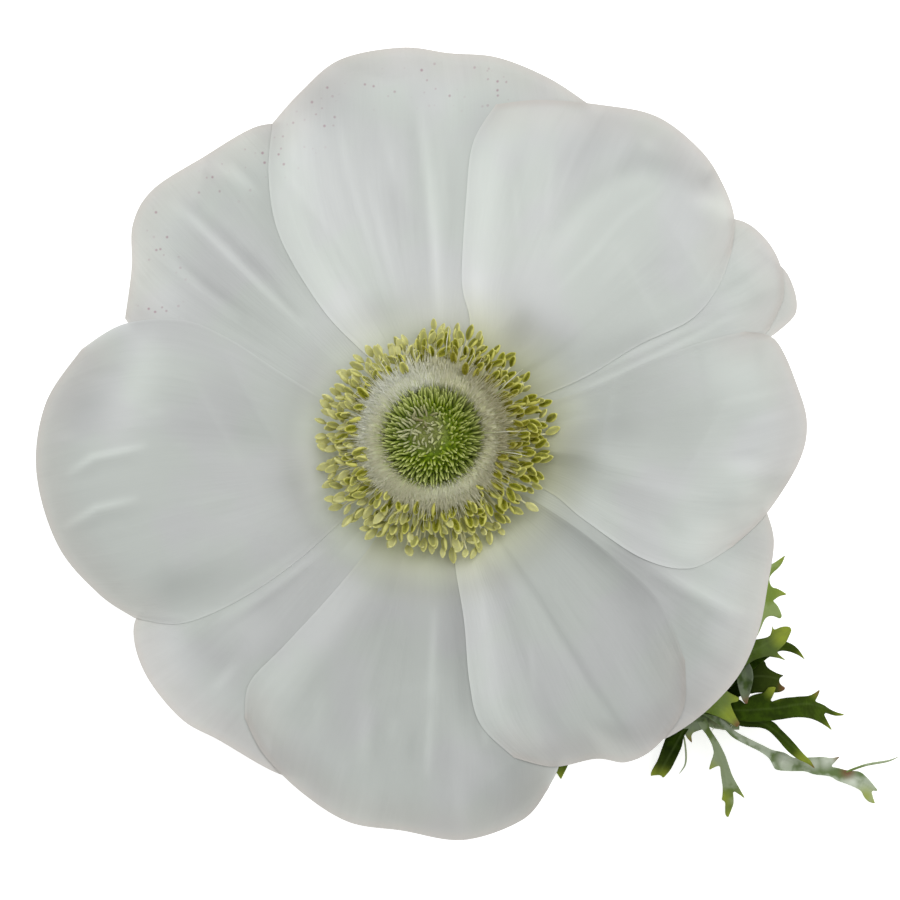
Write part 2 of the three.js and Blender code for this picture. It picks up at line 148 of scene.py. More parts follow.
def blend(tree, share, first, second):
    """Two colours mixed by a share from 0 to 1."""
    node = tree.nodes.new("ShaderNodeMix")
    node.data_type = "RGBA"
    # The node has sockets for every kind of data. Inputs 6 and 7 and output 2 are those for colours.
    return feed(tree, node, {0: share, 6: first, 7: second}).outputs[2]


def tinted(tree, colour, tint, share, most):
    """A colour turned towards a tint, by this much at most, where the share is 1."""
    return blend(tree, calc(tree, "MULTIPLY", share, most), colour, tint)


def measured(tree, name):
    """A value that the mesh carries at each of its points."""
    node = tree.nodes.new("ShaderNodeAttribute")
    node.attribute_name = name
    return node.outputs["Fac"]


def object_place(tree):
    """Where a point lies on the object, in metres."""
    return tree.nodes.new("ShaderNodeTexCoord").outputs["Object"]


def grain(tree, scale, detail=2.0, place=None):
    """Soft noise from 0 to 1, laid over the object or over another place."""
    node = tree.nodes.new("ShaderNodeTexNoise")
    vector = object_place(tree) if place is None else place
    return feed(tree, node, {"Vector": vector, "Scale": scale, "Detail": detail}).outputs["Fac"]


def from_seeds(tree, scale):
    """How far a point of the object lies from the nearest of many scattered seeds, 0 at the seed."""
    node = tree.nodes.new("ShaderNodeTexVoronoi")
    return feed(tree, node, {"Vector": object_place(tree), "Scale": scale}).outputs["Distance"]


def relief_normal(tree, height, depth_mm, strength):
    """A normal from a height map whose white is that many millimetres above its black."""
    node = tree.nodes.new("ShaderNodeBump")
    inputs = {"Height": height, "Distance": depth_mm * MM, "Strength": strength}
    return feed(tree, node, inputs).outputs["Normal"]


def new_finish(name, roughness, gloss=0.15, subsurface=0.0, subsurface_mm=0.5):
    """A material with its shader set to plant tissue."""
    finish = bpy.data.materials.new(name)
    finish.use_nodes = True
    tree = finish.node_tree
    shader = feed(tree, tree.nodes["Principled BSDF"], {
        "Roughness": roughness,
        "Specular IOR Level": gloss,
        "Subsurface Weight": subsurface,
        "Subsurface Radius": (1.0, 1.0, 1.0),
        "Subsurface Scale": subsurface_mm * MM,
    })
    return finish, tree, shader


print("material helpers ready")

# %% [markdown]
# ## Veins
# A petal is a leaf at heart: fine veins leave its foot and spread towards the rim. On a sheet with its own
# map of across and outwards, stretched noise makes such streaks. The group is built once. The finish that
# places it says how many streaks lie side by side and how long they run.

# %% Vein group
VEIN_DETAIL = 3.0
VEIN_FURROW, VEIN_RIDGE = 0.3, 0.7


def vein_group():
    """Streaks that run outwards on a sheet: mask 0 in the furrows, 1 on the ridges."""
    group = bpy.data.node_groups.new("veins", "ShaderNodeTree")
    group.interface.new_socket("Map", in_out="INPUT", socket_type="NodeSocketVector")
    for socket_name in ("Across", "Outwards", "Seed"):
        group.interface.new_socket(socket_name, in_out="INPUT", socket_type="NodeSocketFloat")
    group.interface.new_socket("Mask", in_out="OUTPUT", socket_type="NodeSocketFloat")
    entry = group.nodes.new("NodeGroupInput")
    leave = group.nodes.new("NodeGroupOutput")
    parts = group.nodes.new("ShaderNodeSeparateXYZ")
    feed(group, parts, {0: entry.outputs["Map"]})
    across = calc(group, "MULTIPLY", parts.outputs[0], entry.outputs["Across"])
    outwards = calc(group, "MULTIPLY", parts.outputs[1], entry.outputs["Outwards"])
    place = group.nodes.new("ShaderNodeCombineXYZ")
    feed(group, place, {0: across, 1: outwards, 2: entry.outputs["Seed"]})
    streaks = grain(group, 1.0, detail=VEIN_DETAIL, place=place.outputs[0])
    feed(group, leave, {"Mask": ease(group, streaks, VEIN_FURROW, VEIN_RIDGE)})
    return group


veins = vein_group()


def vein_mask(tree, across, outwards, seed):
    """The vein group placed in a material, on the sheet's own map."""
    node = tree.nodes.new("ShaderNodeGroup")
    node.node_tree = veins
    sheet_map = tree.nodes.new("ShaderNodeUVMap").outputs[0]
    inputs = {"Map": sheet_map, "Across": across, "Outwards": outwards, "Seed": seed}
    return feed(tree, node, inputs).outputs["Mask"]


print("vein group:", len(veins.nodes), "nodes")

# %% [markdown]
# ## Helpers for meshes
# Petals and leaf lobes are thin sheets. By hand they could be sculpted, but their overlaps must stay a
# fraction of a millimetre apart, so the points of a flat grid are placed by a formula instead and
# Solidify then gives the sheet its thickness. Styles, hairs and anthers are modelled once each, and a
# copy of that model goes to every place where one grows.

# %% Helpers for meshes
STEPS_BETWEEN_POINTS = 24
SMOOTH_ANGLE = math.radians(60)


def smoothstep(value, start, end):
    """A soft step: 0 up to start, 1 from end on."""
    share = np.clip((value - start) / (end - start), 0, 1)
    return share * share * (3 - 2 * share)


def smooth_curve(points, steps):
    """Evenly spaced points on a smooth curve through the given points."""
    points = np.asarray(points, float)
    held = np.vstack([points[:1], points, points[-1:]])
    fine = []
    share = np.linspace(0, 1, STEPS_BETWEEN_POINTS, endpoint=False)[:, None]
    for before, start, end, after in zip(held, held[1:], held[2:], held[3:]):
        leave = (end - before) / 2
        arrive = (after - start) / 2
        cubic = 2 * (start - end) + leave + arrive
        square = 3 * (end - start) - 2 * leave - arrive
        fine.append(cubic * share**3 + square * share**2 + leave * share + start)
    fine = np.vstack([*fine, points[-1:]])
    lengths = np.concatenate([[0], np.cumsum(np.linalg.norm(np.diff(fine, axis=0), axis=1))])
    wanted = np.linspace(0, lengths[-1], steps + 1)
    return np.column_stack([np.interp(wanted, lengths, column) for column in fine.T])


def carry(piece, **named_values):
    """Stores values at the points of a piece, for its material to read: one for each, or one for all."""
    for name, values in named_values.items():
        attribute = piece.data.attributes.new(name, "FLOAT", "POINT")
        at_points = np.empty(len(piece.data.vertices), np.float32)
        at_points[:] = values
        attribute.data.foreach_set("value", at_points)


def in_metres(points):
    """Points around the middle of the bloom, in mm, as points of the frame."""
    return (np.asarray(points) + np.array(BLOOM_CENTRE)) * MM


def flat_sheet(name, across, outwards):
    """A flat grid. Gives the piece, and how far across and outwards each of its points lies, 0 to 1."""
    bpy.ops.mesh.primitive_grid_add(x_subdivisions=across, y_subdivisions=outwards, size=1, calc_uvs=True)
    piece = bpy.context.object
    piece.name = piece.data.name = name
    points = np.empty(3 * len(piece.data.vertices))
    piece.data.vertices.foreach_get("co", points)
    return piece, points[0::3] + 0.5, points[1::3] + 0.5


def place_points(piece, points):
    """Moves the points of a piece to new places."""
    piece.data.vertices.foreach_set("co", np.asarray(points, np.float32).ravel())
    piece.data.update()


def select_only(*pieces):
    """Selects these pieces alone. The first becomes the active one."""
    bpy.ops.object.select_all(action="DESELECT")
    for piece in pieces:
        piece.select_set(True)
    bpy.context.view_layer.objects.active = pieces[0]


def apply(piece, kind, **settings):
    """Adds a modifier, sets it and applies it."""
    select_only(piece)
    bpy.ops.object.modifier_add(type=kind)
    for setting, value in settings.items():
        setattr(piece.modifiers[-1], setting, value)
    bpy.ops.object.modifier_apply(modifier=piece.modifiers[-1].name)


def joined(name, pieces):
    """The pieces as one piece with a new name."""
    select_only(*pieces)
    bpy.ops.object.join()
    pieces[0].name = pieces[0].data.name = name
    return pieces[0]


def triangles(piece):
    """How many triangles the faces of a piece make."""
    return sum(len(face.vertices) - 2 for face in piece.data.polygons)


def stand_for(piece, node):
    """The finished piece takes the place of its CAD node."""
    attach(piece, "root")
    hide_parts(node)
    print(piece.name, "has", triangles(piece), "triangles")


def leave_edit_mode():
    """Turns all faces outwards and goes back to the object."""
    bpy.ops.mesh.select_all(action="SELECT")
    bpy.ops.mesh.normals_make_consistent(inside=False)
    bpy.ops.object.mode_set(mode="OBJECT")


def modelled_once(rings, sides):
    """A stalk along +Z in mm, a disc extruded from ring to ring. A ring is (height, sideways, radius)."""
    height, sideways, radius = rings[0]
    bpy.ops.mesh.primitive_circle_add(
        vertices=sides, radius=radius, fill_type="NGON", location=(sideways, 0, height)
    )
    model = bpy.context.object
    bpy.ops.object.transform_apply(location=True)
    bpy.ops.object.mode_set(mode="EDIT")
    for (low, left, thick), (high, right, thin) in zip(rings, rings[1:]):
        bpy.ops.mesh.extrude_region_move(TRANSFORM_OT_translate={"value": (right - left, 0, high - low)})
        bpy.ops.transform.resize(value=(thin / thick,) * 3, center_override=(right, 0, high))
    leave_edit_mode()
    return model


def planted(name, model, places, finish, **carried):
    """One piece with a copy of the model at each place. Carried are the copies' own values, by name."""
    count = len(model.data.vertices)
    points = np.empty(3 * count)
    model.data.vertices.foreach_get("co", points)
    points = points.reshape(-1, 3)
    faces = [tuple(face.vertices) for face in model.data.polygons]
    matrices = np.array(places)
    all_points = np.einsum("kij,nj->kni", matrices[:, :3, :3], points) + matrices[:, None, :3, 3]
    all_faces = [
        tuple(corner + copy * count for corner in face) for copy in range(len(places)) for face in faces
    ]
    mesh = bpy.data.meshes.new(name)
    mesh.from_pydata(all_points.reshape(-1, 3).tolist(), [], all_faces)
    piece = bpy.data.objects.new(name, mesh)
    bpy.context.scene.collection.objects.link(piece)
    low, high = points[:, 2].min(), points[:, 2].max()
    carry(piece, along=np.tile((points[:, 2] - low) / (high - low), len(places)))
    carry(piece, **{value_name: np.repeat(values, count) for value_name, values in carried.items()})
    mesh.materials.append(finish)
    mesh.shade_smooth()
    return piece


def growing(root, direction, length, width, spin):
    """Where a model one unit long along +Z goes: from its root, along a direction, turned by a spin."""
    turn = Vector(direction).to_track_quat("Z", "Y").to_matrix().to_4x4()
    size = Matrix.Diagonal((width, width, length, 1))
    return Matrix.Translation(root) @ turn @ Matrix.Rotation(spin, 4, "Z") @ size


print("mesh helpers ready")

# %% [markdown]
# ## The bloom's surface
# All petals lie on one shallow bowl that leans back with the flower. It swells a little along the middle
# of each petal, and droops to the north and northwest until two rims touch the table. The fine relief
# is shared by all layers as well, so that a pleat of an upper petal never cuts into the one below.

# %% The bloom's surface
BOWL_RISE = 3.5
BOWL_START, BOWL_END = 8, 30
SWELL_START, SWELL_END = 14, 38
# Swells: the azimuths where each starts and ends, and its height in mm. A negative one droops.
SWELLS = [
    (70, 118, -3.4),
    (118, 164, -3.5),
    (164, 214, 1.0),
    (236, 279, 0.8),
    (281, 329, 1.0),
    (333, 381, 1.0),
    (384, 430, 0.8),
]
# Pleats: how many stand around the bloom, their height in mm, and how fast they change outwards.
PLEATS = [(2.0, 0.75, 0.035), (8.0, 0.2, 0.03), (19.0, 0.08, 0.05)]
PLEAT_START, PLEAT_END = 12, 34


def bloom_height(x, y):
    """Height of the bloom's surface, in mm, before the layers part."""
    reach = np.hypot(x, y)
    azimuth = np.degrees(np.arctan2(y, x)) % 360
    from_lean = np.cos(np.radians(azimuth - LEAN_AZIMUTH))
    height = RECEPTACLE_TOP - math.tan(LEAN) * reach * from_lean
    height += BOWL_RISE * (1 - from_lean) / 2 * smoothstep(reach, BOWL_START, BOWL_END)
    outwards = smoothstep(reach, SWELL_START, SWELL_END)
    for start, end, swell in SWELLS:
        share = np.minimum(((azimuth - start) % 360) / (end - start), 1)
        height += swell * outwards * np.sin(np.pi * share) ** 2
    return height


def pleat_height(x, y):
    """Shared pleats of the petals, in mm. They run outwards and grow towards the rim."""
    reach = np.hypot(x, y)
    azimuth = np.arctan2(y, x)
    total = np.zeros_like(reach)
    for around, height, drift in PLEATS:
        circle = (around * np.cos(azimuth), around * np.sin(azimuth))
        places = np.column_stack([*circle, drift * reach + around])
        total += height * np.array([noise.noise(Vector(place)) for place in places])
    return total * smoothstep(reach, PLEAT_START, PLEAT_END)


print("bloom surface at the rim of the east petal:", round(float(bloom_height(41, 0)), 1), "mm")

# %% [markdown]
# ## Petals: outlines
# Each rim was read from the photograph as a few points of azimuth and reach around the bloom, joined by
# a smooth curve. A higher layer lies on the lower ones. Tone is how light the petal looks against the
# others, in painted light and shade: lightest on the north and northeast petals, darkest on the south and
# southeast ones. Foot is how strongly its foot is tinted yellow-green, partly the petal's own green and
# partly painted shade beside the stamens. The painted bright side is the long side painted lighter: glow
# is how much lighter it looks, and shade how dark a painted shadow it leaves on the petal below.

# %% Petal outlines
PETALS = [
    {
        "name": "petal_north", "layer": 1, "axis": 93, "tone": 1.0,
        "foot": 0.45, "painted_bright_side": "last", "glow": 0.2, "shade": 0.05,
        "rim": [(56, 14.5), (57, 26.5), (60, 37.5), (66, 43), (73, 44.2), (81, 45.2), (88, 45.2), (95, 46),
                (104, 45.8), (111, 43.6), (117, 41.6), (122, 36.5), (127, 30), (130, 21), (129, 14.5)],
    },
    {
        "name": "petal_northeast", "layer": 2, "axis": 49, "tone": 1.03,
        "foot": 1.0, "painted_bright_side": "last", "glow": 0.24, "shade": 0.03,
        "rim": [(24, 17.5), (26, 26), (26, 32.5), (29, 37), (33, 40.5), (37, 43), (42, 44.5), (48, 45.5),
                (56, 45.5), (64, 43.5), (73, 41.5), (80, 39.8), (83, 35), (83, 28.5), (81, 19), (74, 14)],
    },
    {
        "name": "petal_east_northeast", "layer": 1, "axis": 30, "tone": 1.03,
        "foot": 0.6, "painted_bright_side": "first", "glow": 0.0, "shade": 0.0,
        "rim": [(18, 20), (18, 29.5), (16, 36), (19, 40.5), (23, 43.4), (28, 44.7), (33, 44.5), (37, 43),
                (41, 39), (43, 29), (43, 19.5)],
    },
    {
        "name": "petal_east_northeast_back", "layer": 0, "axis": 26, "tone": 1.0,
        "foot": 0.5, "painted_bright_side": "first", "glow": 0.0, "shade": 0.0,
        "rim": [(16, 18), (14, 28), (16, 36), (18, 41), (20, 44), (24, 44.9), (28, 44.4), (34, 41.5),
                (37, 30), (36, 18)],
    },
    {
        "name": "petal_east", "layer": 2, "axis": 358, "tone": 0.94,
        "foot": 1.1, "painted_bright_side": "first", "glow": 0.13, "shade": 0.06,
        "rim": [(337, 14), (333, 19), (331, 27), (334, 32.5), (341, 36), (348, 38.7), (357, 41.6),
                (363, 42.6), (369, 42), (377, 40.8), (380, 37.8), (381, 32.5), (381, 25), (380, 20),
                (380, 14)],
    },
    {
        "name": "petal_southeast_back", "layer": 0, "axis": 328, "tone": 0.93,
        "foot": 0.6, "painted_bright_side": "last", "glow": 0.0, "shade": 0.0,
        "rim": [(306, 16.5), (304, 26), (302, 36), (305, 42.2), (310, 43), (316, 43.5), (323, 43.6),
                (330, 42.7), (337, 41.3), (344, 40.3), (349, 38.5), (350, 31), (351, 19)],
    },
    {
        "name": "petal_southeast", "layer": 2, "axis": 306, "tone": 0.82,
        "foot": 0.9, "painted_bright_side": "first", "glow": 0.24, "shade": 0.1,
        "rim": [(279, 13.5), (279, 20.5), (278, 27.5), (279, 32.5), (284, 37), (290, 39.3), (297, 40.4),
                (301, 42.4), (306, 42.8), (313, 41.5), (319, 37.8), (325, 31), (328, 22.5), (330, 14)],
    },
    {
        "name": "petal_south", "layer": 1, "axis": 262, "tone": 0.82,
        "foot": 0.9, "painted_bright_side": "first", "glow": 0.18, "shade": 0.04,
        "rim": [(237, 15), (235, 21.5), (233, 29), (232, 34.7), (235, 38.3), (241, 40.7), (249, 42.8),
                (257, 44.4), (265, 44.4), (274, 45.4), (283, 44.1), (288, 41.5), (292, 38), (294, 29.7),
                (292, 19.5), (287, 13.5)],
    },
    {
        "name": "petal_southwest", "layer": 0, "axis": 230, "tone": 0.93,
        "foot": 0.4, "painted_bright_side": "first", "glow": 0.0, "shade": 0.0,
        "rim": [(209, 18), (210, 29), (208, 36.5), (211, 40.5), (218, 42.5), (227, 43), (234, 42.1),
                (244, 41.9), (250, 41), (250, 36), (248, 26.5), (248, 15.5)],
    },
    {
        "name": "petal_west", "layer": 1, "axis": 188, "tone": 0.91,
        "foot": 0.35, "painted_bright_side": "last", "glow": 0.05, "shade": 0.0,
        "rim": [(159, 12.5), (155, 20), (153, 27), (154, 32.7), (159, 38.6), (165, 42.3), (174, 45.2),
                (184, 46.1), (195, 45), (204, 42.4), (210, 40), (215, 36), (218, 30), (220, 22),
                (219, 13.5)],
    },
    {
        "name": "petal_northwest", "layer": 0, "axis": 141, "tone": 0.92,
        "foot": 0.3, "painted_bright_side": "first", "glow": 0.0, "shade": 0.0,
        "rim": [(116, 13.5), (115, 26), (113, 36), (115, 40.9), (120, 42.2), (129, 42.7), (138, 44),
                (144, 43.3), (150, 40.6), (158, 38.7), (162, 34), (163, 24), (166, 13.5)],
    },
]
print(len(PETALS), "petal outlines")

# %% [markdown]
# ## Petals: creases
# On top of the even pleats each petal has creases and soft swells of its own. They were read from the
# photograph as lines through a few pixels, with the width of the line in mm. Light is how much lighter a
# line is painted than the petal around it: 1 is a bright ridge with a painted highlight, -1 a dark furrow
# with painted shade. A wide one is also deeper.

# %% Petal creases
# Each crease: the pixels of its line, its width and its painted light.
CREASES = {
    "petal_north": [
        ([(439, 322), (434, 250), (428, 180), (419, 108)], 0.6, 1.0),
        ([(424, 300), (418, 200), (408, 115)], 1.2, -0.6),
        ([(452, 300), (447, 200), (437, 120)], 1.3, -0.8),
        ([(447, 215), (438, 119)], 0.4, 0.4),
        ([(388, 305), (349, 177), (334, 104)], 0.45, 0.6),
        ([(398, 300), (380, 230), (367, 181)], 0.45, 0.5),
        ([(372, 300), (349, 261), (300, 190), (272, 160)], 0.5, 0.5),
        ([(362, 285), (325, 230), (300, 205)], 0.5, -0.3),
        ([(405, 240), (388, 180)], 1.6, -0.6),
        ([(310, 130), (345, 90)], 3.0, -0.5),
        ([(380, 120), (395, 180)], 0.5, 0.4),
    ],
    "petal_northeast": [
        ([(479, 325), (475, 300), (476, 270)], 1.0, 0.9),
        ([(520, 250), (512, 180), (510, 130)], 1.6, -0.3),
        ([(518, 240), (513, 170)], 0.4, 0.4),
        ([(545, 225), (552, 150)], 0.4, 0.4),
        ([(560, 180), (600, 120)], 2.0, -0.6),
        ([(548, 262), (582, 212), (615, 184), (648, 178)], 1.3, 0.9),
        ([(560, 225), (600, 185), (640, 163), (672, 168), (698, 187)], 1.6, -0.9),
        ([(698, 186), (719, 168)], 0.8, -1.0),
        ([(692, 200), (715, 205), (732, 218)], 1.2, 1.2),
        ([(585, 262), (625, 215), (668, 184)], 0.5, 0.4),
        ([(558, 290), (600, 245)], 0.5, 0.4),
        ([(640, 290), (690, 260)], 5.0, -0.5),
        ([(500, 325), (525, 350)], 2.6, -1.0),
        ([(640, 140), (660, 152)], 0.6, 0.4),
    ],
    "petal_east_northeast": [
        ([(566, 397), (637, 365), (695, 336), (740, 312)], 0.45, 1.0),
        ([(590, 372), (650, 345), (712, 318)], 0.45, 0.7),
        ([(580, 384), (645, 356), (704, 327)], 0.5, -0.6),
        ([(712, 300), (765, 262)], 0.5, -0.5),
        ([(715, 312), (770, 285)], 0.5, 0.4),
        ([(745, 300), (785, 290)], 1.2, -0.5),
    ],
    "petal_east": [
        ([(610, 400), (660, 410), (705, 435)], 6.5, -1.0),
        ([(700, 365), (755, 360)], 4.0, 0.7),
        ([(714, 404), (750, 398), (785, 390)], 0.5, 0.5),
        ([(746, 424), (785, 413)], 0.5, 0.4),
        ([(728, 456), (764, 451)], 0.6, -0.5),
        ([(722, 468), (758, 468)], 1.0, 0.5),
        ([(691, 501), (730, 505), (766, 502)], 0.4, -0.4),
        ([(646, 516), (666, 532)], 0.6, 0.4),
    ],
    "petal_southeast_back": [
        ([(600, 535), (640, 575), (690, 622)], 2.4, -1.4),
        ([(641, 563), (690, 588), (745, 616)], 0.9, 1.2),
        ([(650, 580), (700, 606), (735, 632)], 0.8, -0.7),
        ([(700, 628), (735, 640)], 2.0, 0.6),
        ([(690, 560), (750, 580)], 1.2, 0.5),
        ([(695, 660), (720, 690)], 1.0, 0.5),
    ],
    "petal_southeast": [
        ([(506, 550), (544, 606), (590, 682), (628, 735)], 0.5, -1.0),
        ([(498, 560), (535, 618), (580, 695)], 1.6, 0.5),
        ([(545, 560), (600, 640), (630, 700)], 2.0, -0.3),
        ([(556, 500), (607, 549), (655, 603)], 2.4, -1.2),
        ([(529, 640), (533, 691)], 0.4, 0.5),
        ([(480, 590), (484, 630)], 0.5, 0.4),
        ([(668, 625), (680, 655), (678, 700)], 0.8, -0.7),
    ],
    "petal_south": [
        ([(434, 610), (430, 700)], 0.45, 1.1),
        ([(430, 705), (427, 775)], 0.45, 1.1),
        ([(440, 600), (444, 700), (440, 780)], 1.0, -0.5),
        ([(457, 580), (459, 640), (466, 716)], 1.6, -1.2),
        ([(366, 700), (360, 766)], 0.9, 0.9),
        ([(378, 715), (374, 760)], 0.6, -0.4),
        ([(394, 715), (391, 740)], 0.6, 0.5),
        ([(412, 730), (408, 765)], 0.8, -0.5),
        ([(482, 718), (486, 746)], 0.4, 0.9),
        ([(456, 770), (460, 834)], 1.1, 0.6),
        ([(322, 690), (314, 735)], 0.6, 0.4),
        ([(262, 732), (272, 750)], 0.6, 0.6),
        ([(380, 600), (405, 690)], 4.5, -0.6),
        ([(500, 770), (525, 800)], 3.5, -0.7),
    ],
    "petal_southwest": [
        ([(330, 580), (290, 632), (245, 690)], 2.0, -0.8),
        ([(235, 625), (200, 660)], 3.0, -0.4),
        ([(236, 664), (214, 690)], 0.7, 1.0),
        ([(325, 548), (262, 594), (215, 622)], 0.5, 0.6),
        ([(312, 566), (262, 604), (228, 626)], 0.5, -0.6),
        ([(160, 640), (165, 690)], 3.0, 0.6),
    ],
    "petal_west": [
        ([(69, 473), (92, 457), (143, 446)], 0.45, 2.0),
        ([(72, 478), (100, 464), (135, 458)], 0.9, -0.6),
        ([(64, 527), (96, 508), (135, 499)], 0.45, 1.8),
        ([(70, 535), (105, 518), (140, 510)], 1.0, -0.6),
        ([(146, 330), (135, 380), (116, 425)], 2.4, 1.0),
        ([(85, 380), (72, 440)], 2.6, -0.9),
        ([(145, 412), (165, 411)], 0.4, 0.5),
        ([(143, 450), (220, 458), (300, 464)], 1.4, 0.3),
        ([(215, 420), (250, 400)], 6.0, -0.5),
        ([(165, 580), (192, 592), (220, 600)], 1.8, -0.2),
        ([(140, 611), (186, 618), (224, 607)], 0.6, 0.6),
        ([(224, 600), (280, 565), (330, 528)], 0.5, 0.6),
        ([(279, 371), (326, 399)], 0.5, 0.5),
    ],
    "petal_northwest": [
        ([(171, 201), (207, 235), (264, 291), (300, 325)], 0.6, 1.3),
        ([(184, 200), (222, 234), (275, 287)], 0.8, -1.2),
        ([(205, 166), (230, 173), (256, 192)], 1.0, 1.1),
        ([(234, 160), (258, 186)], 0.5, -0.7),
        ([(260, 205), (285, 255), (335, 318)], 1.6, -0.5),
        ([(176, 257), (210, 287), (247, 315)], 0.6, -0.9),
        ([(166, 260), (200, 290), (235, 318)], 0.7, 0.9),
        ([(273, 288), (300, 318)], 0.5, -0.8),
        ([(140, 280), (150, 310)], 2.5, 0.5),
    ],
}
# Patches are painted light and shade, wide and flat; their light says by what share they lighten or darken.
PAINTED_LIGHT_PATCHES = {
    "petal_north": [
        ([(400, 60), (480, 72)], 4.0, 0.1),
        ([(330, 85), (375, 130)], 3.5, -0.04),
        ([(298, 130), (318, 220), (350, 290)], 3.2, 0.17),
        ([(442, 110), (452, 290)], 3.2, 0.12),
    ],
    "petal_northeast": [
        ([(510, 130), (520, 290)], 4.5, 0.1),
        ([(600, 250), (680, 230)], 6.0, 0.02),
        ([(600, 130), (660, 155), (700, 190)], 2.5, -0.05),
        ([(532, 322), (575, 358), (640, 345)], 2.4, -0.12),
    ],
    "petal_east_northeast": [([(570, 370), (720, 328)], 2.5, -0.05)],
    "petal_east": [
        ([(562, 478), (577, 447), (612, 425)], 2.8, -0.14),
        ([(556, 412), (572, 408)], 1.8, 0.14),
        ([(690, 380), (740, 390), (780, 420)], 5.0, 0.05),
        ([(610, 485), (690, 525)], 4.5, 0.12),
        ([(740, 470), (760, 510)], 4.0, 0.12),
    ],
    "petal_southeast_back": [
        ([(690, 640), (690, 720)], 4.5, -0.17),
        ([(690, 575), (755, 600)], 3.5, 0.08),
    ],
    "petal_southeast": [
        ([(640, 590), (665, 700)], 4.5, -0.14),
        ([(492, 600), (508, 680), (545, 750)], 4.0, 0.12),
        ([(556, 506), (600, 545)], 2.4, -0.16),
        ([(468, 566), (480, 560)], 2.0, 0.12),
    ],
    "petal_south": [
        ([(262, 700), (300, 765), (345, 805)], 4.5, 0.11),
        ([(330, 610), (285, 680)], 2.5, 0.04),
        ([(490, 790), (530, 800)], 3.0, -0.1),
        ([(440, 690), (480, 770)], 2.5, 0.06),
    ],
    "petal_southwest": [
        ([(152, 635), (160, 680), (190, 712)], 3.5, 0.13),
        ([(205, 650), (225, 665)], 2.5, -0.08),
        ([(320, 570), (270, 600)], 2.5, -0.1),
    ],
    "petal_west": [
        ([(200, 430), (290, 420)], 6.0, -0.07),
        ([(175, 590), (250, 575), (315, 540)], 2.8, -0.13),
        ([(300, 482), (316, 470)], 2.5, -0.12),
        ([(75, 520), (100, 570)], 3.5, -0.03),
        ([(150, 370), (110, 440)], 3.5, 0.06),
    ],
    "petal_northwest": [
        ([(145, 225), (185, 178), (240, 145)], 4.0, 0.2),
        ([(140, 270), (160, 300)], 3.0, 0.12),
        ([(240, 215), (290, 260), (325, 315)], 3.5, 0.12),
        ([(205, 215), (235, 245)], 1.5, 0.08),
        ([(215, 290), (260, 320)], 3.0, -0.06),
    ],
}
print(sum(len(creases) for creases in CREASES.values()), "creases")

# %% [markdown]
# ## Petals: the sheets
# A petal lies between its foot, its two sides and its outer rim. Blending these four edges gives a grid
# whose lines follow the veins. The lowest layer is made first. Every later petal arches a little, and its
# sides sink until they rest on the petals below, as wet silk would. A petal thins out towards its rim.

# %% Petal sheets
PETAL_LAYER_STEP = 1.05
PETAL_TOP_LAYER = 2
PETAL_THICKNESS = 0.3
PETAL_RIM_SHARE = 0.18
PETAL_THIN_WIDTH = 2.5
PETAL_FOOT_REACH = 5.7
PETAL_FOOT_HALF_ANGLE = 20
HEART_START, HEART_END = 6.5, 10.5
PETAL_SHOULDER_SHARE = 0.84
PETAL_COLUMNS = 104
PETAL_ROWS = 110
ARCH_RISE = 0.4
ARCH_WIDTH = 9.0
# How wide the sinking strip is along the sides and the outer rim, how far it sinks where nothing lies
# below, and how often the sinking is averaged with what is beside it.
SINK_WIDTH = 8.0
OUTER_SINK_WIDTH = 5.0
SINK_WHERE_FREE = 0.3
SINK_SOFTENING = 12
SINK_SPREAD = 90
SINK_SPREAD_SHARE = 0.05
SEAT_GAP = 0.025
PROBE_HEIGHT = 100
CREASE_SLOPE = 0.13
CREASE_END = 0.03
# Painted light and shade on petals: distances are in mm, GLOW_FADES_FROM a share of a petal's length.
GLOW_START, GLOW_WIDTH = 1.0, 6.0
GLOW_FADES_FROM = 0.7
# A painted highlight along every side of a petal, and its width.
RIM_PAINTED_LIGHT = 0.11
RIM_PAINTED_LIGHT_WIDTH = 0.4
SHADE_WIDTH = 3.5
# Painted light that fills the shadow of the stamens on the petals' feet.
RING_PAINTED_LIGHT = 0.5
RING_PAINTED_LIGHT_START, RING_PAINTED_LIGHT_END = 13, 17.5
RING_SHADOW_SIDE = math.radians(225)
FOOT_TINT_START, FOOT_TINT_END = 11, 20
FRECKLED = ("petal_north", "petal_northwest")
# Freckles appear and fade again at these distances from the outer rim.
FRECKLES_APPEAR = (0.8, 2.0)
FRECKLES_FADE = (4.0, 7.5)


def petal_edges(petal):
    """The foot, the first side, the last side and the outer rim of a petal, in plan."""
    outline = [polar(azimuth, reach) for azimuth, reach in petal["rim"]]
    shoulder = PETAL_SHOULDER_SHARE * max(reach for _, reach in petal["rim"])
    outer_points = [i for i, (_, reach) in enumerate(petal["rim"]) if reach >= shoulder]
    first, last = outer_points[0], outer_points[-1]
    turns = PETAL_FOOT_HALF_ANGLE * np.linspace(-1, 1, PETAL_COLUMNS + 1)
    foot = np.array([polar(petal["axis"] + turn, PETAL_FOOT_REACH) for turn in turns])
    first_side = smooth_curve([foot[0], *outline[: first + 1]], PETAL_ROWS)
    last_side = smooth_curve([foot[-1], *outline[last:][::-1]], PETAL_ROWS)
    outer = smooth_curve(outline[first : last + 1], PETAL_COLUMNS)
    return foot, first_side, last_side, outer


def petal_plan(edges, column, row):
    """Points in plan, blended from the four edges."""
    foot, first_side, last_side, outer = edges
    across = (column / PETAL_COLUMNS)[:, None]
    outwards = (row / PETAL_ROWS)[:, None]
    sides = (1 - across) * first_side[row] + across * last_side[row]
    ends = (1 - outwards) * foot[column] + outwards * outer[column]
    corners = (1 - outwards) * ((1 - across) * foot[0] + across * foot[-1])
    corners += outwards * ((1 - across) * outer[0] + across * outer[-1])
    return sides + ends - corners


def nearest(points, line):
    """Distance from each point to the nearest point of a line."""
    return np.min([np.hypot(*(points - corner).T) for corner in line], axis=0)


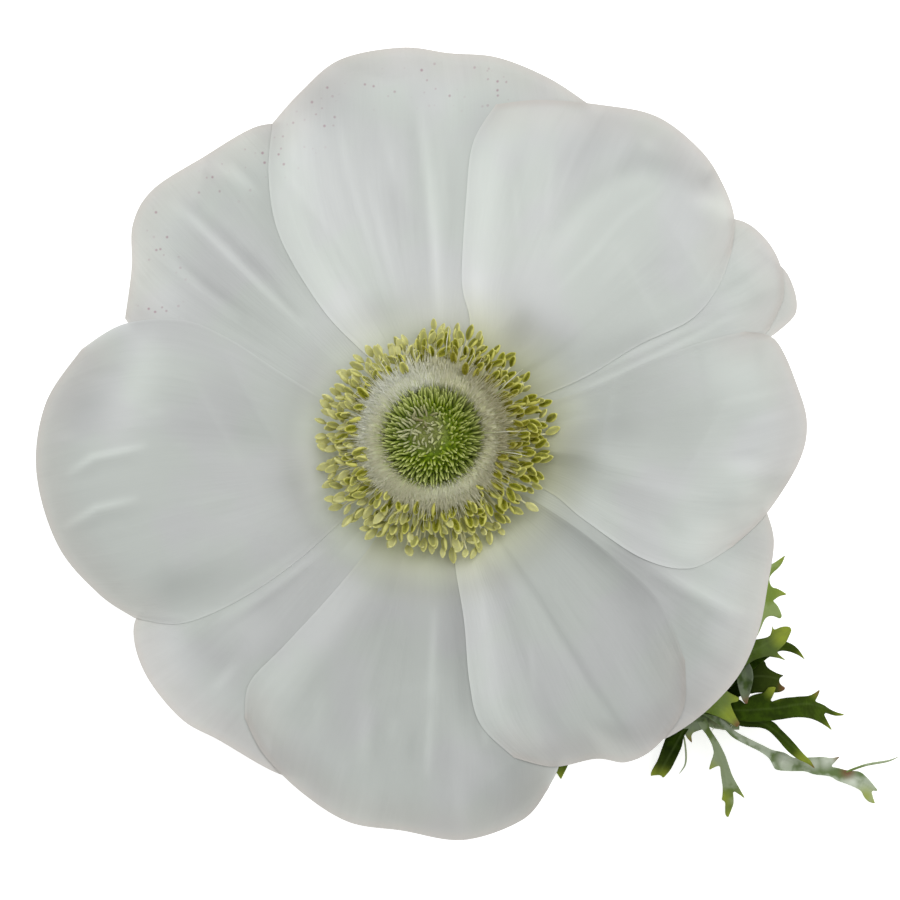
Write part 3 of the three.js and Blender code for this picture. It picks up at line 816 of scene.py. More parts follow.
def along_line(points, line):
    """For each point, its distance to a line of several stretches, and how far along it lies, 0 to 1."""
    lengths = np.linalg.norm(np.diff(line, axis=0), axis=1)
    aside = np.full(len(points), np.inf)
    share = np.zeros(len(points))
    for start, end, length, before in zip(line, line[1:], lengths, np.cumsum(lengths) - lengths):
        reached = np.clip((points - start) @ (end - start) / length**2, 0, 1)
        distance = np.hypot(*(points - start - reached[:, None] * (end - start)).T)
        share = np.where(distance < aside, (before + reached * length) / lengths.sum(), share)
        aside = np.minimum(distance, aside)
    return aside, share


def painted_patches(points, patches):
    """How much lighter a petal's patches of painted light and shade make it."""
    total = np.zeros(len(points))
    for line, width, light in patches:
        aside, _ = along_line(points, np.array([from_photo(pixel) for pixel in line]))
        total += light * np.exp(-((aside / width) ** 2))
    return total


def shaded_by_others(points, petal):
    """Painted shade: how dark the painted bright sides of higher petals leave a petal."""
    dark = np.zeros(len(points))
    for other in PETALS:
        if other["layer"] > petal["layer"]:
            _, first, last, _ = petal_edges(other)
            away = nearest(points, first if other["painted_bright_side"] == "first" else last)
            dark = np.maximum(dark, other["shade"] * (1 - smoothstep(away, 0, SHADE_WIDTH)))
    return dark


def creased(points, creases):
    """Height of a petal's own creases in mm, and their painted light and shade. They fade out at both ends.
    """
    height = np.zeros(len(points))
    total = np.zeros(len(points))
    for line, width, light in creases:
        aside, share = along_line(points, np.array([from_photo(pixel) for pixel in line]))
        fade = np.sin(np.pi * (CREASE_END + (1 - 2 * CREASE_END) * share)) ** 0.5
        shown = light * fade * np.exp(-((aside / width) ** 2))
        height += CREASE_SLOPE * width * shown
        total += shown
    return height, total


def surface_of(pieces):
    """All faces of some pieces, ready to be probed."""
    points, faces = [], []
    for piece in pieces:
        start = len(points)
        points += [vertex.co.copy() for vertex in piece.data.vertices]
        faces += [[start + corner for corner in face.vertices] for face in piece.data.polygons]
    return BVHTree.FromPolygons(points, faces)


def height_below(surface, plan):
    """Height of that surface under each point, in mm, and minus infinity where there is none."""
    from_above = [Vector(in_metres((x, y, PROBE_HEIGHT))) for x, y in plan]
    hits = [surface.ray_cast(point, Vector((0, 0, -1)))[0] for point in from_above]
    return np.array([hit.z / MM if hit else -np.inf for hit in hits])


def softened(values, rounds):
    """Values of a sheet's grid, each averaged with its neighbours some times over."""
    grid = values.reshape(PETAL_ROWS + 1, PETAL_COLUMNS + 1)
    for _ in range(rounds):
        wide = np.pad(grid, 1, mode="edge")
        grid = (wide[:-2, 1:-1] + wide[2:, 1:-1] + wide[1:-1, :-2] + wide[1:-1, 2:] + 4 * grid) / 8
    return grid.ravel()


def seated_height(free, below, thickness, near_side):
    """The petal's height once its sides have sunk on to what lies below. Beside it they sink as far."""
    seat = below + thickness + SEAT_GAP
    above = np.isfinite(below)
    drop = np.where(above, np.maximum(free - seat, 0), 0)
    beside = softened(drop, SINK_SPREAD) + SINK_SPREAD_SHARE * SINK_WHERE_FREE
    beside /= softened(above.astype(float), SINK_SPREAD) + SINK_SPREAD_SHARE
    sink = np.where(above, drop, beside) * near_side
    return np.maximum(free - softened(sink, SINK_SOFTENING), seat)


def distances(petal, plan, edges):
    """How far each point lies from the bloom's middle and from the petal's sides and outer rim, in mm."""
    to_first, to_last, to_outer = [nearest(plan, edge) for edge in edges[1:]]
    return {
        "reach": np.hypot(*plan.T),
        "side": np.minimum(to_first, to_last),
        "painted_bright_side": to_first if petal["painted_bright_side"] == "first" else to_last,
        "outer": to_outer,
    }


def petal_height(petal, plan, away, thickness, crease, under):
    """Height of the petal's upper face, in mm, seated on the petals under it."""
    height = bloom_height(*plan.T) + pleat_height(*plan.T) + crease
    height -= (PETAL_TOP_LAYER - petal["layer"]) * PETAL_LAYER_STEP
    beyond_heart = smoothstep(away["reach"], HEART_START, HEART_END)
    height += ARCH_RISE * smoothstep(away["side"], 0, ARCH_WIDTH) * beyond_heart
    to_edge = np.minimum(away["side"], SINK_WIDTH / OUTER_SINK_WIDTH * away["outer"])
    resting = (1 - smoothstep(to_edge, 0, SINK_WIDTH)) * beyond_heart
    height = seated_height(height, height_below(under, plan), thickness, resting)
    return np.maximum(height, PETAL_THICKNESS)


def painted_ring_light(plan, reach):
    """Painted light that fills the stamens' shadow on the petals' feet, most on the side it falls to."""
    in_shadow = 0.5 + 0.5 * np.cos(np.arctan2(plan[:, 1], plan[:, 0]) - RING_SHADOW_SIDE)
    return RING_PAINTED_LIGHT * in_shadow * (1 - smoothstep(reach, RING_PAINTED_LIGHT_START, RING_PAINTED_LIGHT_END))


def petal_light(petal, plan, away, outwards):
    """Painted light and shade, against its tone: the petal's bright side, rims, patches and shades."""
    light = petal["glow"] * (1 - smoothstep(away["painted_bright_side"], GLOW_START, GLOW_WIDTH))
    light *= 1 - smoothstep(outwards, GLOW_FADES_FROM, 1)
    light += RIM_PAINTED_LIGHT * (1 - smoothstep(away["side"], 0, RIM_PAINTED_LIGHT_WIDTH))
    light += painted_patches(plan, PAINTED_LIGHT_PATCHES.get(petal["name"], [])) - shaded_by_others(plan, petal)
    return light + painted_ring_light(plan, away["reach"])


def freckled(petal, to_outer):
    """How many freckles a point may have: a band behind the outer rim of the freckled petals."""
    band = smoothstep(to_outer, *FRECKLES_APPEAR) * (1 - smoothstep(to_outer, *FRECKLES_FADE))
    return band * (petal["name"] in FRECKLED)


def thicken(piece, thinned):
    """Gives a sheet its thickness, downwards. The shares say where it is full, from 0 at the rim to 1."""
    thin = piece.vertex_groups.new(name="thickness")
    for index, share in enumerate(thinned):
        thin.add([index], float(share), "REPLACE")
    apply(
        piece, "SOLIDIFY", thickness=PETAL_THICKNESS * MM, offset=-1, vertex_group="thickness",
        thickness_vertex_group=PETAL_RIM_SHARE,
    )


def make_petal(petal, seed, under):
    """One petal: a flat sheet, moved into its form, with values for its colours, and thickened."""
    piece, across, outwards = flat_sheet(petal["name"] + "_sheet", PETAL_COLUMNS, PETAL_ROWS)
    # The first side lies on the right, seen from the foot, so that the sheet faces up.
    column = np.rint((1 - across) * PETAL_COLUMNS).astype(int)
    row = np.rint(outwards * PETAL_ROWS).astype(int)
    edges = petal_edges(petal)
    plan = petal_plan(edges, column, row)
    away = distances(petal, plan, edges)
    thinned = smoothstep(np.minimum(away["side"], away["outer"]), 0, PETAL_THIN_WIDTH)
    thickness = PETAL_THICKNESS * (PETAL_RIM_SHARE + (1 - PETAL_RIM_SHARE) * thinned)
    crease, crease_painted_light = creased(plan, CREASES.get(petal["name"], []))
    height = petal_height(petal, plan, away, thickness, crease, under)
    place_points(piece, in_metres(np.column_stack([plan, height])))
    carry(
        piece,
        reach=away["reach"],
        rim=away["outer"],
        crease=crease_painted_light,
        # Tone is painted light and shade: the northern petals lighter, the southern ones darker.
        tone=petal["tone"],
        # The foot tint is partly painted shade beside the stamens.
        foot=petal["foot"] * (1 - smoothstep(away["reach"], FOOT_TINT_START, FOOT_TINT_END)),
        # Light is painted light and shade: bright side, rims, patches, shades and the filled shadow of the
        # stamens.
        light=petal_light(petal, plan, away, outwards),
        freckles=freckled(petal, away["outer"]),
    )
    thicken(piece, thinned)
    shift_map(piece, seed)
    bpy.ops.object.shade_smooth_by_angle(angle=SMOOTH_ANGLE)
    return piece


def shift_map(piece, seed):
    """Moves a sheet's map by whole steps, so that no two petals share their veins."""
    layer = piece.data.uv_layers.active.data
    values = np.empty(2 * len(layer))
    layer.foreach_get("uv", values)
    values[0::2] += 2 * seed
    layer.foreach_set("uv", values)


petals = {}
for layer in range(PETAL_TOP_LAYER + 1):
    under = surface_of(petals.values())
    for seed, petal in enumerate(PETALS):
        if petal["layer"] == layer:
            petals[petal["name"]] = make_petal(petal, seed, under)
print(len(petals), "petals,", sum(map(triangles, petals.values())), "triangles")

# %% [markdown]
# ## Petal finish
# A petal is silky and slightly see-through: off-white with a touch of green, finely streaked along its
# veins, cream at the outer rim and yellow-green at the foot, partly its own green and partly painted shade
# beside the stamens. Subsurface light gives the glow, a little sheen the silk, and the streaks go into both
# colour and bump; painted light and shade scale the colour. Tiny pink freckles sit behind the rim of the
# two petals that stood in the weather.

# %% Petal finish
PETAL_WHITE = (0.577, 0.611, 0.58)
PETAL_LILAC = (0.587, 0.588, 0.602)
PETAL_RIM = (0.56, 0.515, 0.47)
PETAL_FOOT_GREEN_AND_SHADE = (0.44, 0.45, 0.28)
FRECKLE_PINK = (0.36, 0.2, 0.25)
# Veins: how many lie side by side, how many follow each other outwards, and their seed.
FINE_VEINS = (60.0, 3.0, 3.0)
BROAD_VEINS = (15.0, 2.0, 11.0)
FINE_SHARE = 0.4
PETAL_SHEEN = 0.08
STREAK_LIGHT = 0.06
CREASE_PAINTED_LIGHT = 0.11
# Distances in mm where each of these starts and where it is full.
STREAKS_APPEAR = (14.0, 24.0)
RIM_LINE = (1.1, 0.0)
RIM_BAND = (5.5, 0.5)
# Noise and dots: how fine they are, per metre.
CLOUDS = 90.0
STREAK_PATCHES = 110.0
FRECKLE_PATCHES = 330.0
FRECKLE_CELLS = 1050
FRECKLE_EDGE = (0.25, 0.08)
FRECKLE_STRENGTH = 0.65


def petal_streaks(tree):
    """Fine and broad veins together: 0 in their furrows, 1 on their ridges."""
    fine = calc(tree, "MULTIPLY", vein_mask(tree, *FINE_VEINS), FINE_SHARE)
    broad = calc(tree, "MULTIPLY", vein_mask(tree, *BROAD_VEINS), 1 - FINE_SHARE)
    return calc(tree, "ADD", fine, broad)


def petal_lightness(tree, streaks):
    """How light, around 1: streaks, and painted light and shade from tone, creases, glow, patches and
    shades.
    """
    streaks = calc(tree, "MULTIPLY", calc(tree, "SUBTRACT", streaks, 0.5), STREAK_LIGHT)
    streaks = calc(tree, "MULTIPLY", streaks, ease(tree, measured(tree, "reach"), *STREAKS_APPEAR))
    patches = ease(tree, grain(tree, STREAK_PATCHES), 0.4, 0.6)
    streaks = calc(tree, "MULTIPLY", streaks, patches)
    # Painted highlights on the ridges and painted shade in the furrows.
    creases = calc(tree, "MULTIPLY", measured(tree, "crease"), CREASE_PAINTED_LIGHT)
    wide = calc(tree, "ADD", measured(tree, "light"), 1.0)
    total = calc(tree, "ADD", calc(tree, "ADD", streaks, creases), wide)
    return calc(tree, "MULTIPLY", total, measured(tree, "tone"))


def freckle_mask(tree):
    """Sparse round dots where the mesh carries freckles."""
    dot = ease(tree, from_seeds(tree, FRECKLE_CELLS), *FRECKLE_EDGE)
    chosen = ease(tree, grain(tree, FRECKLE_PATCHES), 0.4, 0.5)
    shown = calc(tree, "MULTIPLY", measured(tree, "freckles"), FRECKLE_STRENGTH)
    return calc(tree, "MULTIPLY", calc(tree, "MULTIPLY", dot, chosen), shown)


def petal_finish():
    """Silk: white, lilac clouds, a warm rim, a foot tint partly painted shade, freckles, streaks and
    creases.
    """
    finish, tree, shader = new_finish(
        "petal_silk", roughness=0.55, gloss=0.3, subsurface=0.2, subsurface_mm=0.4
    )
    streaks = petal_streaks(tree)
    rim = measured(tree, "rim")
    clouds = ease(tree, grain(tree, CLOUDS), 0.42, 0.62)
    colour = tinted(tree, PETAL_WHITE, PETAL_LILAC, clouds, most=0.5)
    colour = tinted(tree, colour, PETAL_RIM, ease(tree, rim, *RIM_LINE), most=0.5)
    colour = tinted(tree, colour, PETAL_RIM, ease(tree, rim, *RIM_BAND), most=0.28)
    colour = tinted(tree, colour, PETAL_FOOT_GREEN_AND_SHADE, measured(tree, "foot"), most=0.8)
    colour = blend(tree, freckle_mask(tree), colour, FRECKLE_PINK)
    scaled = tree.nodes.new("ShaderNodeVectorMath")
    scaled.operation = "SCALE"
    feed(tree, scaled, {0: colour, "Scale": petal_lightness(tree, streaks)})
    relief = relief_normal(tree, streaks, depth_mm=0.1, strength=0.2)
    feed(tree, shader, {"Base Color": scaled.outputs[0], "Normal": relief, "Sheen Weight": PETAL_SHEEN})
    return finish


petal_silk = petal_finish()
for name, piece in petals.items():
    piece.data.materials.append(petal_silk)
    stand_for(piece, name)

# %% [markdown]
# ## Pistil head: the dome and its felt
# The middle of the flower is a dome of hundreds of tiny pistils. Under their styles the dome itself shows
# as bright green gaps. It starts as a sphere; its lower half is cut away and the edge is pulled straight
# down to the receptacle. Around it the hairs are matted into a pale felt that spreads like a ruff. That
# felt is a disc, extruded ring by ring.

# %% Dome and felt
DOME_RADIUS = 5.3
DOME_WAIST = 1.35
DOME_TOP = 6.0
DOME_CUT = -0.02
DOME_SEGMENTS = 56
DOME_SEEDS_PER_METRE = 1900
DOME_GREEN = (0.2, 0.31, 0.01)
# Painted shade in the gaps between the seeds.
DOME_GAP = (0.1, 0.16, 0.004)
DOME_PALE = (0.22, 0.23, 0.08)
# Round patches of the dome, seen from above.
DOME_MIDDLE = {"middle": (-0.3, 0.2), "radius": 2.8}
BLEACHED = {"middle": (-1.1, 0.4), "radius": 3.0}
BROWNED = {"middle": (-1.0, 1.7), "radius": 1.5}
# Felt, from its foot over the upper side to its end inside the dome: height, sideways, radius.
FELT_RINGS = [(1.2, 0, 4.6), (2.0, 0, 6.0), (3.2, 0, 7.2), (4.2, 0, 7.9), (4.5, 0, 8.15), (4.75, 0, 7.95),
              (4.85, 0, 7.4), (4.8, 0, 6.8), (4.6, 0, 6.3), (4.3, 0, 5.9), (3.9, 0, 5.4), (3.0, 0, 4.8)]
FELT_SIDES = 72
FELT_INNER_REACH = 5
FELT_WIDTH = 3
FELT_FIBRES_PER_METRE = 2600.0
FELT_GREEN = (0.42, 0.52, 0.08)
FELT_CREAM = (0.76, 0.79, 0.5)
FELT_WHITE = (0.86, 0.87, 0.64)
FELT_FIBRE = (0.45, 0.48, 0.28)
FELT_PAINTED_SHADE = (0.45, 0.43, 0.17)
# Painted light on the side of the heart towards SUNNY_SIDE.
SUNNY_SIDE = math.radians(145)
# Painted shade on the opposite side of the heart, in felt, styles, hairs and anthers.
PAINTED_SHADE_SIDE = math.radians(25)
GREEN_SIDE = math.radians(185)


def sunny(turn):
    """Painted light: 1 on the side of the heart painted lightest, 0 on the other side."""
    return (0.5 + 0.5 * math.cos(turn - SUNNY_SIDE)) ** 2


def dusky(turn):
    """Painted shade: 1 on the side of the heart painted darkest, 0 on its whole other half."""
    return max(0.0, math.cos(turn - PAINTED_SHADE_SIDE))


def greenish(turn):
    """1 on the side where the dome's green shines through the felt, 0 on its whole other half."""
    return max(0.0, math.cos(turn - GREEN_SIDE))


def within(patch, x, y):
    """How far inside a round patch of the dome a point lies, from 0 at its rim to 1 in its middle."""
    away = math.hypot(x - patch["middle"][0], y - patch["middle"][1])
    return float(1 - smoothstep(away, 0.5 * patch["radius"], patch["radius"]))


def make_dome():
    """The upper half of a sphere. Its edge is pulled down, and then it is stretched to its size."""
    bpy.ops.mesh.primitive_uv_sphere_add(segments=DOME_SEGMENTS, ring_count=DOME_SEGMENTS // 2, radius=1)
    dome = bpy.context.object
    height = DOME_TOP - DOME_WAIST
    bpy.ops.object.mode_set(mode="EDIT")
    bpy.ops.mesh.select_all(action="SELECT")
    bpy.ops.mesh.bisect(plane_co=(0, 0, DOME_CUT), plane_no=(0, 0, 1), clear_inner=True, use_fill=True)
    bpy.ops.mesh.extrude_region_move(TRANSFORM_OT_translate={"value": (0, 0, -DOME_WAIST / height)})
    bpy.ops.mesh.select_all(action="SELECT")
    bpy.ops.transform.resize(value=(DOME_RADIUS, DOME_RADIUS, height), center_override=(0, 0, 0))
    bpy.ops.transform.translate(value=(0, 0, DOME_WAIST))
    leave_edit_mode()
    carry(dome, middle=[within(DOME_MIDDLE, vertex.co.x, vertex.co.y) for vertex in dome.data.vertices])
    dome.data.transform(heart_frame)
    bpy.ops.object.shade_smooth_by_angle(angle=SMOOTH_ANGLE)
    return dome


def make_felt():
    """The disc of felt, with how far out and on which side each of its points lies."""
    felt = modelled_once(FELT_RINGS, FELT_SIDES)
    plan = [(vertex.co.x, vertex.co.y) for vertex in felt.data.vertices]
    carry(
        felt,
        outwards=[(math.hypot(x, y) - FELT_INNER_REACH) / FELT_WIDTH for x, y in plan],
        dusky=[dusky(math.atan2(y, x)) for x, y in plan],
        greenish=[greenish(math.atan2(y, x)) for x, y in plan],
    )
    felt.data.transform(heart_frame)
    bpy.ops.object.shade_smooth_by_angle(angle=SMOOTH_ANGLE)
    return felt


def dome_finish():
    """Bright green seeds with dark gaps of painted shade between them, paler in the middle."""
    finish, tree, shader = new_finish("pistil_ground", roughness=0.7, subsurface=0.2)
    gaps = ease(tree, from_seeds(tree, DOME_SEEDS_PER_METRE), 0.2, 0.75)
    colour = blend(tree, gaps, DOME_GREEN, DOME_GAP)
    colour = tinted(tree, colour, DOME_PALE, measured(tree, "middle"), most=0.75)
    seeds = calc(tree, "SUBTRACT", 1.0, gaps)
    relief = relief_normal(tree, seeds, depth_mm=0.2, strength=0.8)
    feed(tree, shader, {"Base Color": colour, "Normal": relief})
    return finish


def felt_finish():
    """Matted hairs: green at the dome, cream and then white outwards, with painted shade on one side."""
    finish, tree, shader = new_finish("hair_felt", roughness=0.9, subsurface=0.5)
    outwards = measured(tree, "outwards")
    colour = blend(tree, ease(tree, outwards, 0.15, 0.5), FELT_GREEN, FELT_CREAM)
    green = calc(tree, "MULTIPLY", measured(tree, "greenish"), ease(tree, outwards, 0.9, 0.2))
    colour = tinted(tree, colour, FELT_GREEN, green, most=0.7)
    colour = blend(tree, ease(tree, outwards, 0.4, 1.0), colour, FELT_WHITE)
    fibres = grain(tree, FELT_FIBRES_PER_METRE, detail=4.0)
    colour = tinted(tree, colour, FELT_FIBRE, fibres, most=0.2)
    colour = tinted(tree, colour, FELT_PAINTED_SHADE, measured(tree, "dusky"), most=0.5)
    relief = relief_normal(tree, fibres, depth_mm=0.15, strength=0.7)
    feed(tree, shader, {"Base Color": colour, "Normal": relief})
    return finish


dome = make_dome()
dome.data.materials.append(dome_finish())
felt = make_felt()
felt.data.materials.append(felt_finish())
print("dome:", triangles(dome), "triangles, felt:", triangles(felt), "triangles")

# %% [markdown]
# ## Pistil head: the styles
# A style is a short curved spike, green at its foot and pale along the rest. One is modelled by extruding
# a small disc, and then planted all over the dome on a golden-angle spiral, which spreads them evenly.
# On the sides they point outwards, longer and paler towards the hairs; towards the top they are shorter
# and lie in all directions. Just below the top a tuft has bleached to grey, and above it some are brown.

# %% Styles
STYLE_COUNT = 900
STYLE_RINGS = [(0, 0, 0.14), (0.3, 0.02, 0.14), (0.62, 0.07, 0.13), (0.85, 0.15, 0.1), (1.0, 0.24, 0.04)]
STYLE_SIDES = 6
GOLDEN_ANGLE = math.pi * (3 - math.sqrt(5))
# The spiral starts at the top of the dome, where rise is 1, and runs a little past its widest ring.
STYLE_DESCENT = 1.12
STYLE_ROOT_SHARE = 0.96
STYLE_LENGTHS = (1.0, 1.4)
STYLE_WIDTHS = (0.8, 1.2)
# What changes towards the sides and the top of the dome, and where they start and end. Sides are found
# by how flat a direction is, and the top by its rise.
SIDE_STRAY, TOP_STRAY = 0.2, 0.9
SIDE_LENGTH = 1.3
SIDE_BLEACHED = 0.25
SIDE_START, SIDE_END = 0.68, 0.85
TOP_START, TOP_END = 0.8, 0.97
TOP_FLATTENED = 0.6
TOP_SHORTENED = 0.2
STYLE_FOOT = (0.15, 0.24, 0.004)
STYLE_GREEN = (0.28, 0.38, 0.016)
STYLE_TIP = (0.5, 0.56, 0.17)
STYLE_BLEACHED = (0.5, 0.5, 0.31)
STYLE_BROWNED = (0.17, 0.13, 0.05)
# Painted shade on the styles of one side.
STYLE_SHADED = (0.11, 0.13, 0.01)


def style_places(rng):
    """Where each style goes, how bleached and browned it is, and how much painted shade it has."""
    places, bleached, browned, shaded = [], [], [], []
    for index in range(STYLE_COUNT):
        rise = 1 - STYLE_DESCENT * (index + 0.5) / STYLE_COUNT
        flat = math.sqrt(max(1 - rise * rise, 0))
        turn = index * GOLDEN_ANGLE
        out = Vector((flat * math.cos(turn), flat * math.sin(turn), rise))
        root = Vector((out.x * DOME_RADIUS, out.y * DOME_RADIUS, out.z * (DOME_TOP - DOME_WAIST)))
        root = STYLE_ROOT_SHARE * root + Vector((0, 0, DOME_WAIST))
        top = float(smoothstep(rise, TOP_START, TOP_END))
        side = float(smoothstep(flat, SIDE_START, SIDE_END))
        stray = SIDE_STRAY + (TOP_STRAY - SIDE_STRAY) * top
        out.z *= 1 - TOP_FLATTENED * top
        out += stray * Vector([rng.uniform(-1, 1) for _ in range(3)])
        length = rng.uniform(*STYLE_LENGTHS) * (1 - TOP_SHORTENED * top) + SIDE_LENGTH * flat**3
        spin = rng.uniform(0, 2 * math.pi)
        places.append(heart_frame @ growing(root, out, length, rng.uniform(*STYLE_WIDTHS), spin))
        bleached.append(within(BLEACHED, root.x, root.y) + SIDE_BLEACHED * side)
        browned.append(within(BROWNED, root.x, root.y) * rng.random())
        shaded.append(dusky(turn) * flat)
    return places, bleached, browned, shaded


def style_finish():
    """Green from the foot to a pale tip, bleached, browned and in painted shade where the mesh says."""
    finish, tree, shader = new_finish("style_green", roughness=0.5, subsurface=0.3)
    along = measured(tree, "along")
    colour = blend(tree, ease(tree, along, 0.0, 0.4), STYLE_FOOT, STYLE_GREEN)
    colour = blend(tree, ease(tree, along, 0.35, 0.95), colour, STYLE_TIP)
    colour = tinted(tree, colour, STYLE_BLEACHED, measured(tree, "bleached"), most=0.85)
    colour = tinted(tree, colour, STYLE_BROWNED, measured(tree, "browned"), most=0.7)
    colour = tinted(tree, colour, STYLE_SHADED, measured(tree, "dusky"), most=0.45)
    feed(tree, shader, {"Base Color": colour})
    return finish


style_model = modelled_once(STYLE_RINGS, STYLE_SIDES)
places, bleached, browned, shaded = style_places(random.Random(3))
styles = planted(
    "styles", style_model, places, style_finish(), bleached=bleached, browned=browned, dusky=shaded
)
bpy.data.objects.remove(style_model)
print("styles:", len(places), "with", triangles(styles), "triangles")

# %% [markdown]
# ## Pistil head: the fringe of hairs
# Out of the felt grow very fine white hairs, the innermost right beside the green dome. They lean outwards
# over the stamens and end in the air. A few stray further out, and four are very long.

# %% Hairs
HAIR_COUNT = 6400
STRAY_SHARE = 0.08
HAIR_RINGS = [(0, 0, 0.045), (0.5, 0.04, 0.035), (1.0, 0.0, 0.008)]
HAIR_SIDES = 3
HAIR_ROOT_DEPTH = 0.1
HAIR_LENGTHS = (0.8, 2.2)
HAIR_WIDTHS = (0.7, 1.3)
HAIR_SPINS = (0, 6.3)
HAIR_SWING = 0.03
# Where hairs end: their reaches, and their height, which rises by a draw and falls outwards.
HAIR_ENDS = (8.4, 9.6)
STRAY_ENDS = (9.4, 11.2)
HAIR_END_HEIGHT = 5.7
HAIR_END_RISE = 0.5
HAIR_END_SLOPE = 0.1
# The inner hairs are lighter, but not on the green side.
INNER_START, INNER_END = 5.5, 7.5
INNER_LIGHT = 0.4
INNER_GREEN = 1.2
HAIR_WHITE = (0.97, 0.98, 0.84)
HAIR_CREAM = (0.78, 0.76, 0.51)
HAIR_PAINTED_SHADE = (0.5, 0.46, 0.24)
HAIR_FOOT = (0.56, 0.64, 0.24)
# Where hairs grow on the felt: reach and height.
HAIR_ROOTS = [(4.9, 3.1), (5.4, 3.9), (5.9, 4.3), (6.8, 4.8), (7.4, 4.85), (8.0, 4.7)]
# Four long hairs, from pixel to pixel, and their heights at both ends.
LONG_HAIRS = [
    ((449, 365), (453, 335)), ((500, 403), (527, 380)), ((505, 462), (534, 469)), ((488, 443), (537, 443)),
]
LONG_HAIR_HEIGHTS = (5.2, 6.2)
LONG_HAIR_WIDTH = 1.8


def around(turn, reach, height):
    """A point around the flower's axis."""
    return Vector((reach * math.cos(turn), reach * math.sin(turn), height))


def hair_between(root, tip, width, spin):
    """Where a hair goes that grows from a root to a tip."""
    along = tip - root
    return heart_frame @ growing(root, along, along.length, width, spin)


def hair_places(rng):
    """Where each hair goes, and how light it is painted."""
    places, lightness = [], []
    root_reaches, root_heights = zip(*HAIR_ROOTS)
    for _ in range(HAIR_COUNT):
        turn = rng.uniform(0, 2 * math.pi)
        reach = rng.uniform(root_reaches[0], root_reaches[-1])
        felt_height = float(np.interp(reach, root_reaches, root_heights))
        root = around(turn, reach, felt_height - HAIR_ROOT_DEPTH)
        end = min(reach + rng.uniform(*HAIR_LENGTHS), rng.uniform(*HAIR_ENDS))
        if rng.random() < STRAY_SHARE:
            end = rng.uniform(*STRAY_ENDS)
        swing = rng.gauss(0, HAIR_SWING)
        height = HAIR_END_HEIGHT + HAIR_END_RISE * rng.random() ** 2 - HAIR_END_SLOPE * end
        tip = around(turn + swing, end, height)
        places.append(hair_between(root, tip, rng.uniform(*HAIR_WIDTHS), rng.uniform(*HAIR_SPINS)))
        inner = float(1 - smoothstep(reach, INNER_START, INNER_END))
        inner_light = inner * (INNER_LIGHT - INNER_GREEN * greenish(turn))
        lightness.append(sunny(turn) - dusky(turn) + inner_light)
    for start, end in LONG_HAIRS:
        root = Vector((*from_photo(start), LONG_HAIR_HEIGHTS[0]))
        tip = Vector((*from_photo(end), LONG_HAIR_HEIGHTS[1]))
        places.append(hair_between(root, tip, LONG_HAIR_WIDTH, 0))
        lightness.append(0.5)
    return places, lightness


def hair_finish():
    """White or cream by the painted light and shade of its side of the heart, with a green foot."""
    finish, tree, shader = new_finish("white_fringe", roughness=0.5, subsurface=0.5)
    sun = measured(tree, "sunny")
    colour = blend(tree, ease(tree, sun, 0.0, -1.0), HAIR_CREAM, HAIR_PAINTED_SHADE)
    colour = blend(tree, ease(tree, sun, 0.0, 1.0), colour, HAIR_WHITE)
    colour = blend(tree, ease(tree, measured(tree, "along"), 0.0, 0.5), HAIR_FOOT, colour)
    feed(tree, shader, {"Base Color": colour})
    return finish


hair_model = modelled_once(HAIR_RINGS, HAIR_SIDES)
places, lightness = hair_places(random.Random(5))
white_fringe = hair_finish()
fringe = planted("fringe", hair_model, places, white_fringe, sunny=lightness)
pistil_head = joined("pistil_head_furred", [dome, felt, styles, fringe])
stand_for(pistil_head, "pistil_head")

# %% [markdown]
# ## Stamens
# Every stamen is a thin cream filament with an anther on top. An anther looks like a grain of wheat: two
# pale swollen lobes with a dark olive furrow between them, its darkness partly painted shade. A sphere
# gives one: it is stretched, its upper middle is pushed down into the furrow, and a slim stalk carries it.

# %% Anther and filament
ANTHER_HALF_LENGTH = 0.95
ANTHER_HALF_WIDTH = 0.48
ANTHER_HALF_HEIGHT = 0.34
ANTHER_TAPER = 0.35
ANTHER_SEGMENTS = 16
FURROW_DEPTH = 0.16
FURROW_WIDTH_SHARE = 0.45
FURROW_LENGTH_SHARE = 0.85
FURROW_LOWEST = 0.1
ANTHER_BACK_HEIGHT = -0.05
ANTHER_BACK_SHARE = 0.75
# The furrow's dark colour is partly painted shade.
ANTHER_FURROW = (0.1, 0.11, 0.001)
ANTHER_OLIVE = (0.22, 0.23, 0.005)
ANTHER_EDGE = (0.62, 0.61, 0.15)
ANTHER_PALE = (0.82, 0.81, 0.4)
ANTHER_PAINTED_SHADE = (0.16, 0.135, 0.006)
POLLEN_YELLOW = (0.52, 0.47, 0.08)
POLLEN_PER_METRE = 5200.0
FILAMENT_RINGS = [(0, 0, 0.17), (0.35, 0.05, 0.14), (0.7, 0.06, 0.12), (1.0, 0, 0.1)]
FILAMENT_SIDES = 5
FILAMENT_FOOT = (0.5, 0.5, 0.16)
FILAMENT_TIP = (0.8, 0.78, 0.48)


